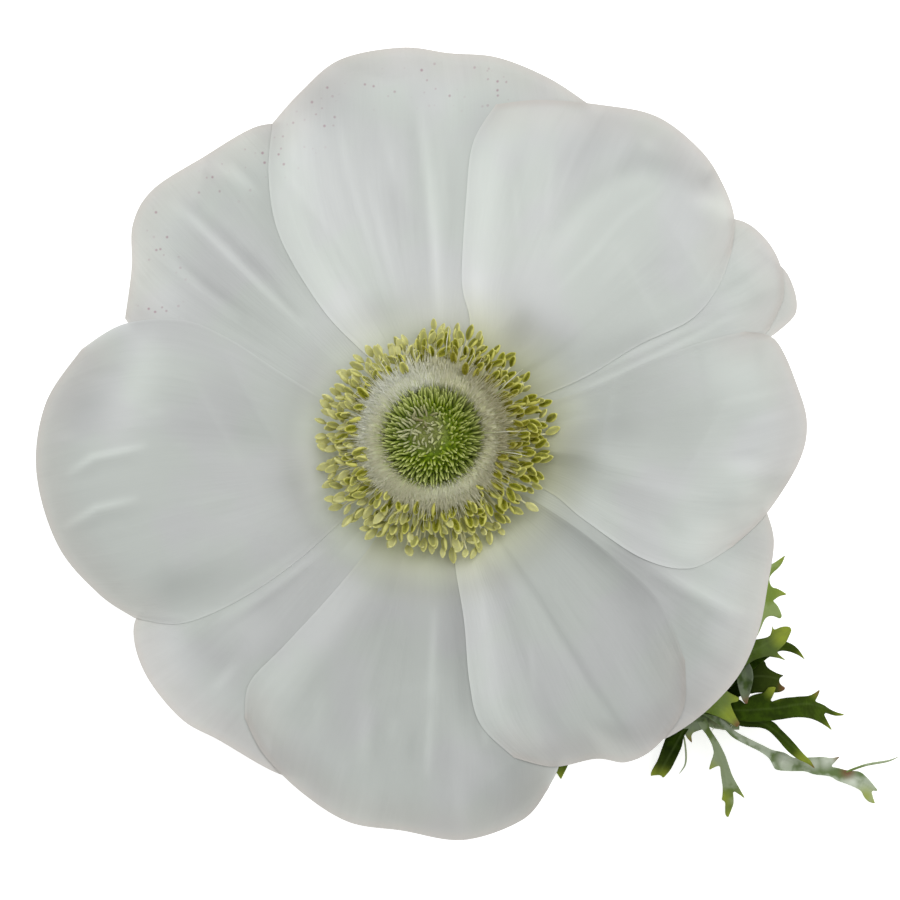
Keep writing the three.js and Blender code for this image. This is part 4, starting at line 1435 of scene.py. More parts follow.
def anther_model():
    """One anther along +Z in mm, with its foot at the origin and its furrow towards +Y."""
    bpy.ops.mesh.primitive_uv_sphere_add(segments=ANTHER_SEGMENTS, ring_count=ANTHER_SEGMENTS // 2, radius=1)
    model = bpy.context.object
    bpy.ops.object.mode_set(mode="EDIT")
    bpy.ops.mesh.select_all(action="SELECT")
    bpy.ops.transform.resize(
        value=(ANTHER_HALF_WIDTH, ANTHER_HALF_HEIGHT, ANTHER_HALF_LENGTH), center_override=(0, 0, 0)
    )
    bpy.ops.mesh.select_all(action="DESELECT")
    bpy.ops.object.mode_set(mode="OBJECT")
    for vertex in model.data.vertices:
        vertex.co.x *= 1 - ANTHER_TAPER * (vertex.co.z / ANTHER_HALF_LENGTH) ** 2
        in_width = abs(vertex.co.x) < FURROW_WIDTH_SHARE * ANTHER_HALF_WIDTH
        in_length = abs(vertex.co.z) < FURROW_LENGTH_SHARE * ANTHER_HALF_LENGTH
        vertex.select = in_width and in_length and vertex.co.y > FURROW_LOWEST
    bpy.ops.object.mode_set(mode="EDIT")
    bpy.ops.mesh.select_mode(type="VERT")
    bpy.ops.transform.translate(value=(0, -FURROW_DEPTH, 0))
    bpy.ops.mesh.select_all(action="SELECT")
    bpy.ops.transform.translate(value=(0, 0, ANTHER_HALF_LENGTH))
    bpy.ops.object.mode_set(mode="OBJECT")
    return model


def rim_share(vertex):
    """0 in the furrow of the anther, 1 along the rims of its two lobes, and a share in between below."""
    if vertex.co.y <= ANTHER_BACK_HEIGHT:
        return ANTHER_BACK_SHARE
    aside = abs(vertex.co.x) / ANTHER_HALF_WIDTH
    lengthwise = abs(vertex.co.z / ANTHER_HALF_LENGTH - 1)
    return min(1, aside + lengthwise**4)


def anther_finish():
    """Olive lobes with pale edges, a dark furrow partly painted shade, painted light and shade, and pollen.
    """
    finish, tree, shader = new_finish("anther_olive", roughness=0.6, subsurface=0.15)
    edge = measured(tree, "edge")
    tint = measured(tree, "tint")
    colour = blend(tree, ease(tree, edge, 0.05, 0.5), ANTHER_FURROW, ANTHER_OLIVE)
    colour = blend(tree, ease(tree, edge, 0.5, 0.85), colour, ANTHER_EDGE)
    colour = tinted(tree, colour, ANTHER_PALE, ease(tree, tint, 0.0, 1.5), most=0.7)
    colour = tinted(tree, colour, ANTHER_PAINTED_SHADE, ease(tree, tint, 0.1, -1.0), most=0.6)
    pollen = grain(tree, POLLEN_PER_METRE)
    colour = tinted(tree, colour, POLLEN_YELLOW, ease(tree, pollen, 0.45, 0.7), most=0.25)
    relief = relief_normal(tree, pollen, depth_mm=0.05, strength=0.5)
    feed(tree, shader, {"Base Color": colour, "Normal": relief})
    return finish


def filament_finish():
    """Yellow-green at the foot and cream at the top."""
    finish, tree, shader = new_finish("filament_cream", roughness=0.5, subsurface=0.2)
    along = measured(tree, "along")
    feed(tree, shader, {"Base Color": blend(tree, along, FILAMENT_FOOT, FILAMENT_TIP)})
    return finish


sac = anther_model()
stalk = modelled_once(FILAMENT_RINGS, FILAMENT_SIDES)
print("one anther:", triangles(sac), "triangles, one filament:", triangles(stalk))

# %% [markdown]
# ## The ring of stamens
# Four hundred stamens crowd in five uneven rows between the fringe and the petals. The inner ones are
# taller. Each anther points outwards, give or take, and seeded draws decide how far it turns, rolls and
# rises, so the ring is the same at every run.

# %% Ring of stamens
# Each row: how many, their reach and their height.
STAMEN_ROWS = [(74, 9.3, 4.5), (86, 10.3, 3.8), (92, 11.3, 2.9), (86, 12.3, 1.9), (62, 13.2, 1.0)]
STAMEN_FOOT_REACH = 5.6
# Waves of the ring: how many stand around it, how far they stand out, and the turn of the first.
STAMEN_WAVES = [(5, 0.3, 1), (9, 0.25, 0)]
# How far the draws move a stamen: along the ring, in steps, and the others in mm.
STEP_STRAY = 0.4
REACH_STRAY = 0.5
FOOT_STRAY = 0.4
HEIGHT_STRAYS = (-0.7, 0.5)
# How an anther turns aside, pitches up and rolls, in radians, and its size.
ANTHER_SWING = 0.4
ANTHER_PITCHES = (-0.2, 0.8)
ANTHER_ROLL = 0.5
ANTHER_SIZES = (0.75, 1.08)
FILAMENT_IN_ANTHER = 0.15
# How light an anther is, in painted light and shade: the tint of the first row, what each further row and
# the sunny side add to it, and what the shaded side takes. A random share comes on top.
FIRST_TINT = -0.4
ROW_PAINTED_LIGHT = 0.33
SUNNY_PAINTED_LIGHT = 0.3
PAINTED_SHADE_TINT = 0.9


def stamen_places(rng):
    """Where each anther and each filament goes, and how light the anther is painted."""
    sacs, stalks, tints = [], [], []
    for row, (count, row_reach, height) in enumerate(STAMEN_ROWS):
        for index in range(count):
            turn = 2 * math.pi * (index + rng.uniform(-STEP_STRAY, STEP_STRAY)) / count
            wave = sum(size * math.sin(waves * turn + start) for waves, size, start in STAMEN_WAVES)
            reach = row_reach + wave + rng.uniform(-REACH_STRAY, REACH_STRAY) - ANTHER_HALF_LENGTH
            swing = turn + rng.gauss(0, ANTHER_SWING)
            pitch = rng.uniform(*ANTHER_PITCHES)
            along = around(swing, math.cos(pitch), math.sin(pitch))
            foot = around(turn, reach, height + rng.uniform(*HEIGHT_STRAYS))
            size = rng.uniform(*ANTHER_SIZES)
            sacs.append(heart_frame @ lying(foot, along, size, rng.gauss(0, ANTHER_ROLL)))
            root = around(turn, STAMEN_FOOT_REACH + rng.uniform(-FOOT_STRAY, FOOT_STRAY), 0)
            stem = foot - root
            length = stem.length + FILAMENT_IN_ANTHER
            stalks.append(heart_frame @ growing(root, stem, length, 1.0, turn))
            tint = FIRST_TINT + ROW_PAINTED_LIGHT * row + SUNNY_PAINTED_LIGHT * sunny(turn) - PAINTED_SHADE_TINT * dusky(turn)
            tints.append(rng.random() ** 2 + tint)
    return sacs, stalks, tints


def lying(foot, along, size, roll):
    """Where an anther goes: from its foot, along a direction, with its furrow up and a little roll."""
    side = along.cross(Vector((0, 0, 1))).normalized()
    up = side.cross(along).normalized()
    turn = Matrix((side, up, along)).transposed().to_4x4()
    return Matrix.Translation(foot) @ turn @ Matrix.Rotation(roll, 4, "Z") @ Matrix.Scale(size, 4)


sac_places, stalk_places, tints = stamen_places(random.Random(9))
anthers = planted("anthers", sac, sac_places, anther_finish(), tint=tints)
carry(anthers, edge=np.tile([rim_share(vertex) for vertex in sac.data.vertices], len(sac_places)))
filaments = planted("filaments", stalk, stalk_places, filament_finish())
bpy.data.objects.remove(sac)
bpy.data.objects.remove(stalk)
stamens = joined("stamens_in_flower", [anthers, filaments])
stand_for(stamens, "stamens")

# %% [markdown]
# ## Stem and receptacle
# Under the bloom the stem swells into the receptacle, a small cup that carries all petals. It then bends
# down to the table and runs to the whorl of bracts, where it was cut. A bevelled curve with a radius at
# each point gives the tube and the swelling in one go.

# %% Stem
STEM_RADIUS = 2.0
STEM_REST_HEIGHT = 1.93
STEM_COURSE = [
    (35.0, -31.0, STEM_REST_HEIGHT),
    (30.5, -29.9, STEM_REST_HEIGHT),
    (20.0, -20.5, STEM_REST_HEIGHT),
    (10.5, -11.5, STEM_REST_HEIGHT + 0.3),
    (5.2, -6.8, STEM_REST_HEIGHT + 1.6),
]
# The course ends on the flower's axis, at these depths below the top of the receptacle.
STEM_END_DEPTHS = (7.6, 5.0)
STEM_STEPS = 60
STEM_SMOOTH_ANGLE = math.radians(50)
STEM_HAIR_COUNT = 700
STEM_HAIR_LENGTHS = (0.4, 0.9)
STEM_HAIR_WIDTH = 0.7
STEM_HAIR_ROOT_SHARE = 0.97
STEM_HAIR_LEAN = 0.4
STEM_HAIR_LOWEST = 0.8
STEM_GREEN = (0.08, 0.13, 0.03)
STEM_BRONZE = (0.12, 0.12, 0.045)
STEM_FIBRE = (0.2, 0.25, 0.09)
STEM_BLOTCHES_PER_METRE = 260.0
STEM_FIBRES_PER_METRE = 1500.0
# The swelling under the petals: depth below the top of the receptacle, and radius.
# Its rim spreads under the lowest petals and closes the gaps between their feet.
RECEPTACLE_PROFILE = [(4.6, 2.1), (4.0, 2.9), (3.5, 4.8), (3.2, 7.2), (3.0, 8.6), (2.85, 8.8), (2.7, 8.5),
                      (2.5, 6.4), (1.9, 5.95), (0.8, 6.0), (0.1, 5.8), (0.0, 5.4)]


def below_top(depth):
    """A point on the flower's axis, that far below the top of the receptacle."""
    axis = Matrix.Rotation(LEAN, 3, lean_axis) @ Vector((0, 0, 1))
    return Vector((0, 0, RECEPTACLE_TOP)) - depth * axis


def round_stem(name, course, radii, resolution):
    """A round stem along a course in mm, with a radius at each point: a bevelled curve."""
    curve = bpy.data.curves.new(name, "CURVE")
    curve.dimensions = "3D"
    curve.bevel_depth = MM
    curve.bevel_resolution = resolution
    curve.use_fill_caps = True
    spline = curve.splines.new("POLY")
    spline.points.add(len(course) - 1)
    for point, centre, radius in zip(spline.points, course, radii):
        point.co = (*in_metres(centre), 1)
        point.radius = radius
    stem = bpy.data.objects.new(name, curve)
    bpy.context.scene.collection.objects.link(stem)
    select_only(stem)
    bpy.ops.object.convert(target="MESH")
    bpy.ops.object.shade_smooth_by_angle(angle=STEM_SMOOTH_ANGLE)
    return bpy.context.object


def make_stem():
    """The stem with its receptacle, and the course that it takes."""
    course = smooth_curve([*STEM_COURSE, *map(below_top, STEM_END_DEPTHS)], STEM_STEPS)
    cup = [below_top(depth) for depth, _ in RECEPTACLE_PROFILE]
    radii = [STEM_RADIUS] * len(course) + [radius for _, radius in RECEPTACLE_PROFILE]
    stem = round_stem("stem_tube", [*course, *cup], radii, resolution=6)
    for vertex in stem.data.vertices:
        vertex.co.z = max(vertex.co.z, 0)
    return stem, course


def stem_hair_places(course, rng):
    """Where each hair of the stem goes. Hairs near the floor are left out."""
    places = []
    for _ in range(STEM_HAIR_COUNT):
        index = rng.randrange(1, len(course) - 1)
        along = Vector(course[index + 1] - course[index - 1]).normalized()
        side = along.cross(Vector((0, 0, 1))).normalized()
        out = Matrix.Rotation(rng.uniform(0, 2 * math.pi), 3, along) @ side
        root = Vector(course[index]) + STEM_RADIUS * STEM_HAIR_ROOT_SHARE * out
        if root.z > STEM_HAIR_LOWEST:
            direction = out + STEM_HAIR_LEAN * along
            hair = growing(root, direction, rng.uniform(*STEM_HAIR_LENGTHS), STEM_HAIR_WIDTH, 0)
            places.append(flower_frame @ hair)
    return places


def stem_finish():
    """Green skin with bronze blotches and fine pale fibres."""
    finish, tree, shader = new_finish("stem_skin", roughness=0.55, gloss=0.35, subsurface=0.1)
    blotches = ease(tree, grain(tree, STEM_BLOTCHES_PER_METRE, detail=4.0), 0.4, 0.66)
    colour = blend(tree, blotches, STEM_GREEN, STEM_BRONZE)
    fibres = grain(tree, STEM_FIBRES_PER_METRE)
    colour = tinted(tree, colour, STEM_FIBRE, fibres, most=0.3)
    relief = relief_normal(tree, fibres, depth_mm=0.08, strength=0.5)
    feed(tree, shader, {"Base Color": colour, "Normal": relief})
    return finish


stem_tube, stem_course = make_stem()
stem_tube.data.materials.append(stem_finish())
places = stem_hair_places(stem_course, random.Random(21))
stem_hairs = planted("stem_hairs", hair_model, places, white_fringe, sunny=np.zeros(len(places)))
bpy.data.objects.remove(hair_model)
stem = joined("stem_with_receptacle", [stem_tube, stem_hairs])
stand_for(stem, "stem")

# %% [markdown]
# ## Bracts: outlines of the lobes
# Below an anemone's bloom sits a whorl of three leafy bracts, cut almost to the foot into narrow lobes
# with sharp teeth. Each lobe was read from the photograph as an outline of pixels; where a petal hides it,
# it runs on to the whorl. Its spine is the line that it bends along: a pixel and a height in mm, from the
# root to the end. Points are the teeth, which fade to yellow-green, dry points have turned brown, and pale
# ones are covered in down.

# %% Lobe outlines
LOBES = {
    "bract_north": [
        {
            "light": 0.85, "grey": 0.25, "keel": 0.25,
            "spine": [(694, 704, 4.9), (722, 676, 7.8), (750, 632, 8.9), (768, 596, 8.3), (785, 555, 8.0)],
            "outline": [(688, 702), (722, 655), (745, 615), (757, 588), (765, 569), (775, 562),
                        (785.5, 554.8), (781, 565), (771, 575), (769.5, 580.7), (772, 587), (778, 588.7),
                        (788, 594.8), (780, 596), (773, 600.8), (778.1, 606.5), (781.8, 615.8),
                        (779.9, 619), (772, 616), (765, 619), (757, 636), (740, 662), (714, 698),
                        (702, 709)],
            "points": [(785.5, 554.8), (788, 594.8)],
        },
        {
            "light": 0.0, "grey": 0.0, "keel": 0.2,
            "spine": [(697, 704, 4.7), (735, 668, 6.8), (770, 648, 6.9), (806, 661, 5.6)],
            "outline": [(692, 698), (730, 655), (755, 645), (780, 640), (786.7, 641.6), (794.1, 645.3),
                        (800.2, 651.5), (805.8, 660.7), (799, 655.8), (789.2, 651.8), (778.7, 651.5),
                        (765, 660), (740, 680), (706, 708)],
            "points": [(805.8, 660.7)],
        },
        {
            "light": 0.14, "grey": 0.05, "keel": 0.15,
            "spine": [(697, 704, 4.9), (730, 664, 8.0), (760, 647, 8.6), (790, 630, 7.6)],
            "outline": [(690, 700), (722, 660), (742, 643), (753.5, 639.8), (768.2, 636.5), (771.3, 631),
                        (771.9, 624.5), (773.6, 630), (781.8, 626.6), (789.2, 626.6), (791.6, 630),
                        (789.8, 634.6), (786.1, 642.2), (780.5, 648), (776.8, 652), (781.2, 656.4),
                        (787.5, 661.2), (778.7, 658.2), (770.7, 656.9), (763.9, 657), (748, 664),
                        (722, 690), (702, 709)],
            "points": [(771.9, 624.5), (787.5, 661.2), (791, 629), (786, 630), (782, 637)],
        },
        {
            "light": -0.6, "grey": 0.0, "keel": 0.1,
            "spine": [(698, 705, 4.6), (735, 682, 6.2), (760, 676, 6.3), (784, 680, 5.2)],
            "outline": [(694, 699), (725, 672), (745, 659), (763.3, 660.5), (767, 666.8), (775.6, 672.4),
                        (784.8, 675.6), (780, 678), (779.5, 682.3), (782.4, 685.8), (786, 687.8),
                        (782, 691.6), (772, 693), (755, 693), (735, 698), (704, 710)],
            "dry": [(786, 688)],
        },
        {
            "light": -0.1, "grey": 0.3, "keel": 1.1,
            "spine": [(742, 656, 7.4), (743.5, 664, 8.1), (745.5, 682, 8.0), (747, 704, 7.2)],
            "outline": [(738, 655), (745, 655), (749.5, 663.2), (752.6, 670.5), (753, 680.4), (750.2, 692.7),
                        (747.3, 704.4), (743.4, 702), (739.7, 692.7), (736.8, 680.4), (737.2, 669)],
            "dry": [(747.3, 704.4)],
        },
        {
            "light": 0.5, "grey": 0.1, "keel": 0.35,
            "spine": [(698, 706, 5.0), (712, 704, 6.4), (726, 710, 7.2), (738, 726, 6.6)],
            "outline": [(695, 703), (708, 694), (722, 687), (727, 691), (733.4, 694.5), (739.2, 697.4),
                        (737.2, 701.6), (730, 702.6), (733.8, 712.3), (740, 723.6), (737, 727.4),
                        (731.7, 724.4), (726.6, 720.8), (718.1, 716.8), (707.9, 713), (700, 711)],
            "points": [(739.2, 697.4), (731, 714)], "dry": [(738.8, 726)],
        },
    ],
    "bract_east": [
        {
            "light": 0.04, "grey": 0.0, "keel": 0.12,
            "spine": [(698, 706, 4.8), (735, 710, 6.2), (775, 708, 6.3), (810, 704, 4.8), (846, 716, 1.6)],
            "outline": [(695, 700), (715, 697), (737.7, 698.7), (746, 705), (748.7, 697), (757, 693.5),
                        (764, 692), (768, 687), (775.9, 686.6), (773, 695.3), (769.3, 702.2), (781, 698.2),
                        (796, 696.5), (808.2, 695.6), (814, 693.2), (820.5, 688.8), (818.5, 695),
                        (815, 701.3), (823.5, 704.7), (833.7, 711), (847, 715.2), (836, 716.2),
                        (823.2, 712.2), (827.5, 720.8), (833.4, 731.6), (822, 723.8), (810, 718.6),
                        (796.3, 717.4), (781, 719.4), (768, 721), (752, 722), (735, 720), (715, 716),
                        (699, 711)],
            "points": [(775, 688), (820.5, 688.8), (847, 715.2), (833.4, 731.6)], "dry": [(820.5, 689.4)],
        },
        {
            "light": 0.04, "grey": 0.0, "keel": 0.12,
            "spine": [(698, 706, 4.4), (735, 715, 5.7), (765, 724, 5.5), (790, 744, 3.6), (816, 769, 1.6)],
            "outline": [(697, 702), (735, 708), (770, 720), (781, 729.3), (792.9, 741.2), (803.1, 753.1),
                        (810.8, 760.8), (816, 769.6), (807, 763.6), (798, 759.4), (787.8, 751.4),
                        (777.6, 739.8), (769.1, 731.4), (760.6, 727.8), (747, 727), (738.5, 725.4),
                        (718, 717), (699, 710)],
            "points": [(811, 763), (805, 759)], "dry": [(816.4, 770)],
        },
        {
            "light": 0.35, "grey": 1.0, "keel": 0.3,
            "spine": [(699, 708, 4.6), (735, 733, 4.6), (768, 752, 2.6), (800, 765, 0.9), (850, 777, 0.7),
                      (877, 792, 0.4)],
            "outline": [(698, 704), (710, 712), (724.9, 721.3), (733.4, 729.5), (747, 737.3), (764, 745.6),
                        (772.5, 749.8), (784.4, 752.6), (794.6, 757.9), (808.2, 757.4), (823.5, 757),
                        (832, 758), (840.9, 756.2), (834.5, 763), (830.6, 766.9), (837.1, 767.8),
                        (848.2, 770.6), (859.2, 771.6), (866, 776.1), (872.8, 783.7), (879.2, 791.8),
                        (871.6, 790.7), (873.9, 799), (875.7, 804), (869.2, 802.2), (864.3, 797.3),
                        (860.7, 790.8), (850.7, 785.8), (837.1, 780.7), (830.3, 776.7), (815, 774.8),
                        (804.8, 771.6), (789.5, 771.4), (775.9, 769.7), (772.8, 765), (768.3, 757.8),
                        (759.8, 751.6), (746.4, 744.8), (732.6, 737.3), (723.9, 728.8), (712, 720),
                        (700, 712)],
            "points": [(875.7, 804), (866, 797)], "dry": [(840.9, 756.6), (848, 772)],
            "pale": [(784, 759), (814, 763), (826, 762), (832, 760), (852, 781)],
        },
    ],
    "bract_south": [
        {
            "light": 0.4, "grey": 0.5, "keel": 0.2,
            "spine": [(697, 712, 3.2), (707, 732, 4.2), (719, 757, 3.2), (726, 785, 1.6), (728, 818, 0.5)],
            "outline": [(691, 708), (699, 706), (707, 719), (709.6, 728), (718.9, 742.7), (725.7, 756.3),
                        (732.3, 775), (738.3, 786.1), (746, 799.6), (736.8, 793), (733, 791), (734, 802.4),
                        (732, 809.2), (728.4, 818.4), (725.4, 814.3), (725.4, 802), (721.8, 800.2),
                        (722.7, 788.8), (720.9, 775.2), (719.9, 765.6), (714.7, 767.2), (708.4, 770.6),
                        (710.8, 761.6), (713.4, 753.1), (711.6, 744.6), (706.4, 735), (699, 725)],
            "points": [(746, 799.6), (728.4, 818.4), (708.4, 770.6), (721.8, 800.2)],
        },
        {
            "light": -0.35, "grey": 0.0, "keel": 0.2,
            "spine": [(693, 712, 3.1), (679, 738, 3.4), (668, 758, 2.0), (657, 777, 0.5)],
            "outline": [(686, 708), (698, 711), (691, 725), (683.8, 737), (681.8, 746.3), (675.8, 759.9),
                        (670.5, 770.1), (663, 779), (660.3, 775.4), (650.5, 776.4), (651.8, 770.6),
                        (657.6, 759.9), (661.8, 748), (668, 732), (677, 718)],
            "points": [(663, 779), (650.5, 776.4)],
        },
        {
            "light": 0.1, "grey": 0.4, "keel": 0.1,
            "spine": [(697, 711, 3.6), (693, 724, 3.7), (691.5, 743, 2.2)],
            "outline": [(690, 708), (703, 709), (708.5, 717), (707.6, 728), (697, 731.2), (691.9, 734.4),
                        (692.4, 743.6), (687.6, 738.7), (684.6, 733), (682, 722)],
            "points": [(692.4, 743.6)], "dry": [(692.4, 744)],
        },
        {
            "light": 0.1, "grey": 0.0, "keel": 0.3,
            "spine": [(692, 714, 3.0), (650, 720, 3.8), (610, 721, 3.7), (580, 735, 2.8), (559, 772, 0.6)],
            "outline": [(690, 708), (650, 712), (610, 713), (580, 724), (562, 748), (552, 766), (549, 778),
                        (556, 772), (561, 780), (567, 768), (575, 752), (590, 738), (612, 729), (650, 728),
                        (694, 719)],
            "points": [(549, 778), (561, 780)],
        },
    ],
}
# Bristles: thin ends of lobes, as pixels with a height, and their radius in mm.
BRISTLES = {
    "bract_east": {
        "line": [(846, 772, 0.9), (866, 765, 0.9), (888, 761, 0.6), (899, 756.5, 0.5)], "radius": 0.14,
    },
    "bract_south": {
        "line": [(684, 737, 2.6), (686, 753, 1.6), (685, 765, 0.9), (679, 774, 0.5)], "radius": 0.1,
    },
}
print({name: len(lobes) for name, lobes in LOBES.items()}, "lobes")

# %% [markdown]
# ## Bracts: cutting and bending the lobes
# A lobe is cut flat, like paper: a disc whose points move on to the outline, extruded to its thickness
# and remeshed into even small faces. Then it is bent along its spine, and its halves rise a little from
# the midrib. Each point also notes where it lies, for the colours.

# %% Bract lobes
LEAF_THICKNESS = 0.4
LEAF_VOXEL = 0.13
OUTLINE_STEP = 0.3
SPINE_STEPS = 80
SHARP_TURN = math.radians(62)
POINT_REACH = 1.9
DRY_REACH = 1.3
PALE_REACH = 1.4
KEEL_ROUNDING = 0.4
BRISTLE_STEPS = 24
BRISTLE_SWELL = 0.25
BRISTLE_TIP_RADIUS = 0.02
BRISTLE_TONE = 0.7


def leaf_plan(pixels, height):
    """The points in plan that the camera sees at some pixels, if they lie at this height."""
    return np.array([from_photo(pixel, height) for pixel in pixels])


def turns_sharply(before, corner, after):
    """Whether an outline has a sharp point or notch at a corner."""
    inward, outward = corner - before, after - corner
    bend = np.arctan2(inward[0] * outward[1] - inward[1] * outward[0], inward @ outward)
    return abs(bend) > SHARP_TURN


def smooth_outline(corners):
    """A closed outline, curved everywhere but at its sharp points and notches."""
    count = len(corners)
    sharp = [i for i in range(count) if turns_sharply(corners[i - 1], corners[i], corners[(i + 1) % count])]
    line = []
    for start, end in zip(sharp, sharp[1:] + [sharp[0] + count]):
        stretch = np.array([corners[i % count] for i in range(start, end + 1)])
        length = np.linalg.norm(np.diff(stretch, axis=0), axis=1).sum()
        line += list(smooth_curve(stretch, max(2, round(length / OUTLINE_STEP)))[:-1])
    return np.array(line)


def cut_flat(outline):
    """A flat blade with this outline in plan, its upper face at height 0, in mm."""
    bpy.ops.mesh.primitive_circle_add(vertices=len(outline), radius=1, fill_type="NGON")
    blade = bpy.context.object
    place_points(blade, np.column_stack([outline, np.zeros(len(outline))]))
    bpy.ops.object.mode_set(mode="EDIT")
    bpy.ops.mesh.select_all(action="SELECT")
    bpy.ops.mesh.extrude_region_move(TRANSFORM_OT_translate={"value": (0, 0, -LEAF_THICKNESS)})
    leave_edit_mode()
    apply(blade, "REMESH", mode="VOXEL", voxel_size=LEAF_VOXEL)
    apply(blade, "SMOOTH", factor=0.5, iterations=3)
    return blade


def closeness(plan, pixels, height, reach):
    """1 at the listed pixels, falling to 0 at the given reach."""
    if not pixels:
        return np.zeros(len(plan))
    return 1 - smoothstep(nearest(plan, leaf_plan(pixels, height)), 0, reach)


def make_lobe(lobe):
    """One lobe of a bract, cut flat and bent along its spine, with values for its colours."""
    heights = [height for *_, height in lobe["spine"]]
    height = sum(heights) / len(heights)
    plan_spine = leaf_plan([point[:2] for point in lobe["spine"]], height)
    spine = smooth_curve(np.column_stack([plan_spine, heights]), SPINE_STEPS)
    blade = cut_flat(smooth_outline(leaf_plan(lobe["outline"], height)))
    points = np.array([vertex.co for vertex in blade.data.vertices])
    plan = points[:, :2]
    away = np.array([np.hypot(*(plan - place[:2]).T) for place in spine])
    closest = away.argmin(axis=0)
    from_rib = away.min(axis=0)
    rise = spine[closest, 2] + lobe["keel"] * (from_rib**2 / (from_rib + KEEL_ROUNDING))
    points[:, 2] += np.maximum(LEAF_THICKNESS / 2 + rise, LEAF_THICKNESS)
    place_points(blade, in_metres(points))
    carry(
        blade,
        along=closest / SPINE_STEPS,
        from_rib=from_rib,
        point=closeness(plan, lobe.get("points"), height, POINT_REACH),
        dry=closeness(plan, lobe.get("dry"), height, DRY_REACH),
        pale=closeness(plan, lobe.get("pale"), height, PALE_REACH),
        light=lobe["light"],
        grey=lobe["grey"],
    )
    blade.data.shade_smooth()
    return blade


def make_bristle(bristle):
    """A thin thread along a line, a little thicker towards its end and then pointed."""
    line = np.array([(*from_photo((x, y), height), height) for x, y, height in bristle["line"]])
    course = smooth_curve(line, BRISTLE_STEPS)
    share = np.linspace(0, 1, len(course))
    swell = 1 + BRISTLE_SWELL * (2 * share - 1)
    radii = bristle["radius"] * (1 - share**4) * swell + BRISTLE_TIP_RADIUS
    thread = round_stem("bristle", course, radii, resolution=2)
    carry(thread, light=BRISTLE_TONE, grey=BRISTLE_TONE)
    return thread


def make_bract(name):
    """All lobes of a bract, and its bristle if it has one, as one piece."""
    pieces = [make_lobe(lobe) for lobe in LOBES[name]]
    if name in BRISTLES:
        pieces.append(make_bristle(BRISTLES[name]))
    return joined(name + "_leafy", pieces)


bracts = {name: make_bract(name) for name in LOBES}
print({name: triangles(piece) for name, piece in bracts.items()}, "triangles")

# %% [markdown]
# ## Leaf finish
# The lobes are deep green with lighter, yellow-green points and a slim pale midrib. Some show their
# grey-green, downy underside, and a few points have dried to a reddish brown.

# %% Leaf finish
LEAF_DARK = (0.006, 0.012, 0.0003)
LEAF_DEEP = (0.012, 0.027, 0.001)
LEAF_MOTTLE = (0.03, 0.062, 0.002)
LEAF_BRIGHT = (0.28, 0.39, 0.06)
LEAF_POINT = (0.3, 0.36, 0.04)
LEAF_GREY = (0.15, 0.21, 0.09)
LEAF_DOWN = (0.5, 0.56, 0.44)
LEAF_PALE = (0.66, 0.71, 0.6)
LEAF_RIB = (0.16, 0.22, 0.07)
LEAF_DRY = (0.2, 0.09, 0.045)
LEAF_END_PAINTED_LIGHT = 0.12
LEAF_MOTTLES_PER_METRE = 900.0
LEAF_BLOTCHES_PER_METRE = 330.0
# Distances in mm from the midrib where its colour and its ridge start, and where they are full.
RIB_COLOURED = (0.22, 0.05)
RIB_RAISED = (0.3, 0.0)


def leaf_finish():
    """Mottled deep green, turned lighter, grey, pale or dry where the lobe says; painted light at its end.
    """
    finish, tree, shader = new_finish("leaf_green", roughness=0.6, gloss=0.03)
    mottle = grain(tree, LEAF_MOTTLES_PER_METRE, detail=4.0)
    blotch = grain(tree, LEAF_BLOTCHES_PER_METRE, detail=3.0)
    light = measured(tree, "light")
    from_rib = measured(tree, "from_rib")
    grey_green = blend(tree, ease(tree, blotch, 0.4, 0.54), LEAF_GREY, LEAF_DOWN)
    colour = blend(tree, ease(tree, mottle, 0.35, 0.7), LEAF_DEEP, LEAF_MOTTLE)
    colour = tinted(tree, colour, LEAF_DARK, ease(tree, light, 0.0, -0.6), most=0.8)
    colour = tinted(tree, colour, LEAF_BRIGHT, light, most=0.9)
    # Painted light: each lobe lighter towards its end, away from the shade under the bloom.
    towards_end = ease(tree, measured(tree, "along"), 0.5, 1.0)
    colour = tinted(tree, colour, LEAF_BRIGHT, towards_end, most=LEAF_END_PAINTED_LIGHT)
    colour = tinted(tree, colour, grey_green, measured(tree, "grey"), most=0.85)
    colour = tinted(tree, colour, LEAF_PALE, measured(tree, "pale"), most=0.75)
    colour = tinted(tree, colour, LEAF_POINT, measured(tree, "point"), most=0.8)
    colour = tinted(tree, colour, LEAF_RIB, ease(tree, from_rib, *RIB_COLOURED), most=0.12)
    colour = tinted(tree, colour, LEAF_DRY, measured(tree, "dry"), most=0.9)
    raised_rib = calc(tree, "MULTIPLY", ease(tree, from_rib, *RIB_RAISED), 0.6)
    height = calc(tree, "ADD", mottle, raised_rib)
    relief = relief_normal(tree, height, depth_mm=0.12, strength=0.6)
    feed(tree, shader, {"Base Color": colour, "Normal": relief})
    return finish


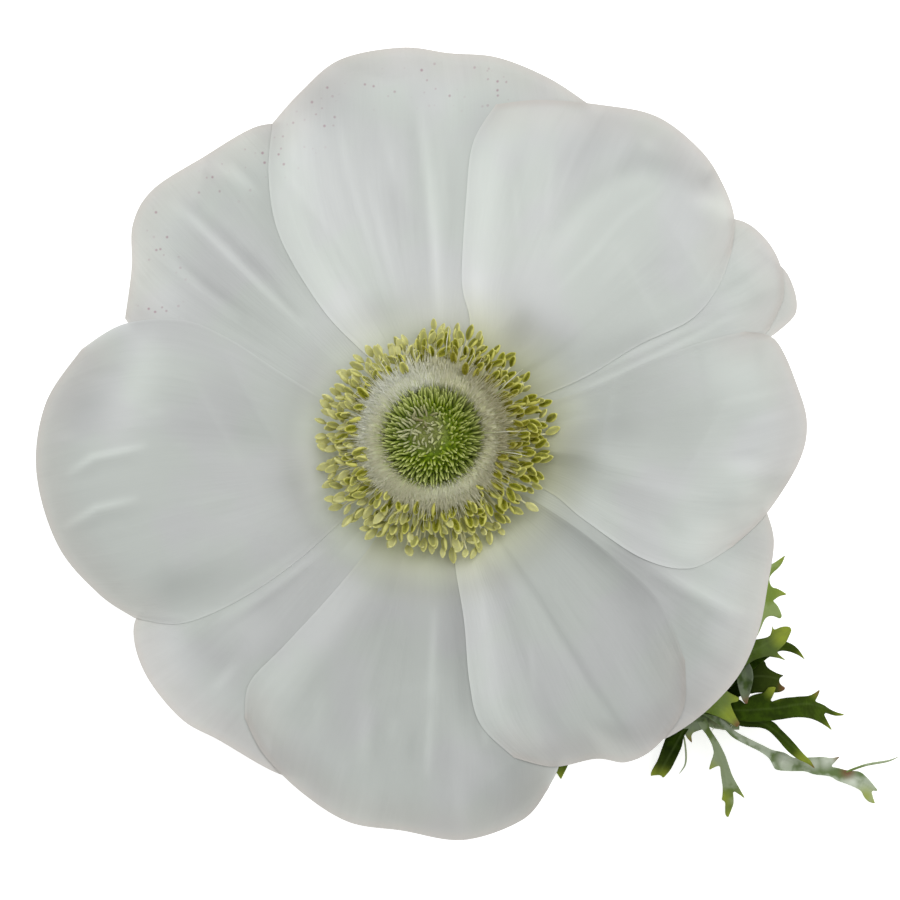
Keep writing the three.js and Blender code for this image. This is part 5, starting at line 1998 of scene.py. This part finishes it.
leaf_green = leaf_finish()
for name, piece in bracts.items():
    piece.data.materials.clear()
    piece.data.materials.append(leaf_green)
    stand_for(piece, name)

# %% [markdown]
# ## Floor and light
# The flower lies on a white light table, as for a catalogue: the table glows faintly itself, so shadows
# stay soft and pale. A broad lamp stands beyond the northeast rim and throws a few soft shadows to the
# southwest of the petals' edges; the wider shadow beside each bright side is painted shade. A bright sky
# fills the rest. The colours are shown without a film look. Sizes and places are in metres here.

# %% Floor and light
FLOOR_SIDE = 12
FLOOR_HEIGHT = -0.0002
FLOOR_GLOW = 0.6
FLOOR_WHITE = (0.9, 0.9, 0.9)
FLOOR_SHADE = (0.88, 0.88, 0.88)
LAMP_PLACE = (0.2, 0.23, 0.5)
LAMP_AIM = (0, 0, 0.01)
LAMP_POWER = 2.3
LAMP_SIDE = 0.8
SKY_STRENGTH = 0.57


def floor_finish():
    """White that glows faintly."""
    finish, tree, shader = new_finish("table_white", roughness=0.9, gloss=0.1)
    tone = grain(tree, 3.0)
    colour = blend(tree, tone, FLOOR_WHITE, FLOOR_SHADE)
    glow = {"Emission Color": (1, 1, 1), "Emission Strength": FLOOR_GLOW}
    feed(tree, shader, {"Base Color": colour, **glow})
    return finish


bpy.ops.mesh.primitive_plane_add(size=FLOOR_SIDE, location=(0, 0, FLOOR_HEIGHT))
floor = bpy.context.object
floor.name = "floor"
floor.data.materials.append(floor_finish())

bpy.ops.object.light_add(type="AREA", location=LAMP_PLACE)
lamp = bpy.context.object
lamp.name = "window_light"
lamp.data.energy = LAMP_POWER
lamp.data.size = LAMP_SIDE
lamp.rotation_euler = (Vector(LAMP_AIM) - lamp.location).to_track_quat("-Z", "Y").to_euler()
lamp.visible_camera = False

world = bpy.data.worlds.new("sky")
world.use_nodes = True
sky = world.node_tree
feed(sky, sky.nodes["Background"], {"Color": (1, 1, 1), "Strength": SKY_STRENGTH})
bpy.context.scene.world = world
bpy.context.scene.view_settings.view_transform = "Standard"
print("lamp:", LAMP_POWER, "W, sky:", SKY_STRENGTH)
